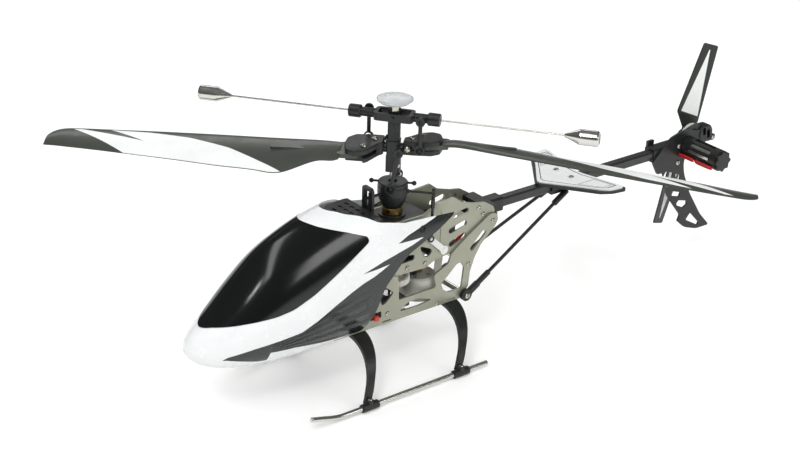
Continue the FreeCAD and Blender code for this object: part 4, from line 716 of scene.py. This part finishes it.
def canopy_form(name, skin, per_gap=9, count=112):
    """The canopy as a solid, set in from the outside by skin, with a blunter nose when it is the inside."""
    rows = STATIONS
    if skin > 0:
        rows = [INNER_NOSE] + STATIONS[3:-1] + [(INNER_REAR,) + STATIONS[-1][1:]]
    bm = bmesh.new()
    rings = []
    for row in smooth_rows(rows, per_gap):
        rings.append([bm.verts.new(Vector(p) * MM) for p in canopy_ring(row, skin, count)])
    join_rings(bm, rings)
    return make_object(name, bm)


def boolean(target, tool, operation):
    """Cuts target with tool, or keeps only what they share, and makes the result its mesh."""
    change = target.modifiers.new(operation, "BOOLEAN")
    change.object = tool
    change.operation = operation
    change.solver = "EXACT"
    bpy.context.view_layer.update()
    result = bpy.data.meshes.new_from_object(target.evaluated_get(bpy.context.evaluated_depsgraph_get()))
    target.modifiers.clear()
    target.data = result


def discard(*objects):
    """Removes tools that have done their cutting."""
    for obj in objects:
        bpy.data.objects.remove(obj)


def shade(obj, material, angle=32.0):
    """Gives a piece its material, smooth except where faces meet at more than the angle."""
    obj.data.materials.clear()
    obj.data.materials.append(material)
    obj.data.shade_smooth()
    obj.data.set_sharp_from_angle(angle=math.radians(angle))


def offset_outline(points, gap):
    """Moves an outline by a gap down its first axis and up its second, keeping its corner radii."""
    return [(a - gap, b + gap, radius) for a, b, radius in points]


def add_piece(piece, body, material):
    """Finishes a new piece and lets it ride on a body."""
    shade(piece, material)
    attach(piece, body)


def side_prism(name, outline):
    """A cutter right across the canopy, with an outline read from the side."""
    return prism(name, rounded(outline), -CUT_REACH, CUT_REACH, "x")


def build_canopy(looks):
    """The thin shell and the windshield set into it, in place of their plain CAD solids."""
    shell = canopy_form("canopy_shell_skin", 0.0)
    inner = canopy_form("canopy_inner", SKIN)
    tools = [
        inner,
        side_prism("side_cut", SIDE_CUT),
        prism("opening", rounded(mirrored(OPENING)), *OPENING_HEIGHTS, "z"),
        prism("belly_wide", rounded(BELLY_WIDE), *BELLY_WIDE_HEIGHTS, "z"),
        prism("belly_slot", rounded(BELLY_SLOT), *BELLY_SLOT_HEIGHTS, "z"),
    ]
    for tool in tools:
        boolean(shell, tool, "DIFFERENCE")
    glass = canopy_form("windshield_skin", -GLASS_PROUD)
    boolean(glass, inner, "DIFFERENCE")
    keep = side_prism("keep", offset_outline(WINDSHIELD, SEAM))
    cut = side_prism("cut", offset_outline(WINDSHIELD, -SEAM))
    boolean(glass, keep, "INTERSECT")
    boolean(shell, cut, "DIFFERENCE")
    discard(keep, cut, *tools)
    add_piece(shell, "canopy", looks["white_gloss"])
    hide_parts("canopy_shell")
    add_piece(glass, "canopy", looks["tinted_window"])
    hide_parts("windshield")


def lathe(name, profile, centre, axis, steps=40):
    """Turns a profile of (radius, height) in mm about an axis through centre."""
    bm = bmesh.new()
    rings = []
    for radius, height in profile:
        ring = []
        for k in range(steps):
            angle = 2 * math.pi * k / steps
            spot = Vector((radius * math.cos(angle), radius * math.sin(angle), height))
            ring.append(bm.verts.new(spot * MM))
        rings.append(ring)
    join_rings(bm, rings)
    turn = Vector((0, 0, 1)).rotation_difference(Vector(axis)).to_matrix().to_4x4()
    bmesh.ops.transform(bm, matrix=Matrix.Translation(Vector(centre) * MM) @ turn, verts=bm.verts)
    return make_object(name, bm)


def build_grommets(looks):
    """The rubber rings set into the canopy's ears."""
    for side, label in ((-1, "right"), (1, "left")):
        centre = (side * RING_AT[0],) + RING_AT[1:]
        facing = (side * RING_FACING[0],) + RING_FACING[1:]
        ring = lathe(f"canopy_grommet_{label}", RING_SECTION, centre, facing)
        add_piece(ring, "canopy", looks["black_plastic"])


# ---- the CAD pieces ----
ROUND_EDGED = {"battery_pack", "wiring", "top_disc", "blade_a", "blade_b"}
ROUND_ANGLE = 40.0
CRISP_ANGLE = 28.0


def dress_nodes(looks):
    """Gives each CAD node the material of its slot, and smooth shading up to a sharp angle."""
    slots = {s["node"]: s["material_slot"] for s in frame["record"]["subparts"]}
    special = {
        "blade_a": blade_paint("blade_a_paint", BLADE_AZIMUTH + 180),
        "stabilizer_cover": cover_paint(),
    }
    for name, obj in frame["nodes"].items():
        material = special.get(name, looks[slots[name]])
        shade(obj, material, ROUND_ANGLE if name in ROUND_EDGED else CRISP_ANGLE)


# ---- the studio ----
def build_floor():
    """A wide pale floor, faintly lit of itself for the camera only."""
    bpy.ops.mesh.primitive_plane_add(size=FLOOR_SIZE, location=(0, 0, -0.0002))
    floor = bpy.context.object
    floor.name = "floor"
    g = Graph("floor")
    finish_surface(g, (0.90, 0.90, 0.895), 0.6, vary=0.01, grain=200.0, grain_depth=0.00001)
    g.put(g.shader.inputs["Emission Color"], (1.0, 1.0, 1.0))
    seen_by_camera = g.node("ShaderNodeLightPath")
    g.put(g.shader.inputs["Emission Strength"], g.math("MULTIPLY", FLOOR_GLOW, seen_by_camera))
    floor.data.materials.append(g.material)


def build_room():
    """Even white light all round, which glossy surfaces see as a dim room that is brighter overhead."""
    world = bpy.context.scene.world or bpy.data.worlds.new("studio")
    bpy.context.scene.world = world
    world.use_nodes = True
    tree = world.node_tree
    back = tree.nodes["Background"]
    back.inputs[0].default_value = (1.0, 1.0, 1.0, 1.0)
    path = tree.nodes.new("ShaderNodeLightPath")
    height = tree.nodes.new("ShaderNodeSeparateXYZ")
    tree.links.new(tree.nodes.new("ShaderNodeTexCoord").outputs["Generated"], height.inputs[0])
    room = tree.nodes.new("ShaderNodeMapRange")
    for socket, value in zip(room.inputs[1:5], (*ROOM_HEIGHTS, ROOM_DIM, ROOM_TOP)):
        socket.default_value = value
    tree.links.new(height.outputs[2], room.inputs[0])
    choose = tree.nodes.new("ShaderNodeMix")
    choose.inputs[2].default_value = WORLD_LIGHT
    tree.links.new(path.outputs["Is Glossy Ray"], choose.inputs[0])
    tree.links.new(room.outputs[0], choose.inputs[3])
    tree.links.new(choose.outputs[0], back.inputs[1])


def area_light(name, at, aim, size, watts, glossy=True, spin=0.0):
    """A rectangular lamp, turned about its own beam by spin degrees."""
    data = bpy.data.lights.new(name, "AREA")
    data.shape = "RECTANGLE"
    data.size, data.size_y = size
    data.energy = watts
    lamp = bpy.data.objects.new(name, data)
    lamp.location = at
    facing = (Vector(aim) - Vector(at)).to_track_quat("-Z", "Y").to_matrix()
    lamp.rotation_euler = (facing @ Matrix.Rotation(math.radians(spin), 3, "Z")).to_euler()
    lamp.visible_glossy = glossy
    bpy.context.scene.collection.objects.link(lamp)


def build_lights():
    for name, at, aim, size, watts, options in LIGHTS:
        area_light(name, at, aim, size, watts, **options)


def build_camera():
    data = bpy.data.cameras.new("camera")
    data.lens = LENS_MM
    data.sensor_width = SENSOR_MM
    data.sensor_fit = "HORIZONTAL"
    data.clip_start, data.clip_end = 0.05, 20.0
    camera = bpy.data.objects.new("camera", data)
    azimuth = Matrix.Rotation(math.radians(CAMERA_AZIMUTH), 4, "Z")
    tilt = Matrix.Rotation(math.radians(90 - CAMERA_ELEVATION), 4, "X")
    roll = Matrix.Rotation(math.radians(CAMERA_ROLL), 4, "Z")
    camera.matrix_world = Matrix.Translation(Vector(CAMERA_AT)) @ azimuth @ tilt @ roll
    bpy.context.scene.collection.objects.link(camera)
    bpy.context.scene.camera = camera


def build_film():
    """A plain colour response, so the pale floor stays pale and the blacks stay deep."""
    view = bpy.context.scene.view_settings
    view.view_transform = "Standard"
    view.look = "None"
    view.exposure = 0.0


materials = build_metals() | build_blacks() | build_plastics() | build_paints()
dress_nodes(materials)
build_canopy(materials)
build_grommets(materials)
build_floor()
build_room()
build_lights()
build_camera()
build_film()
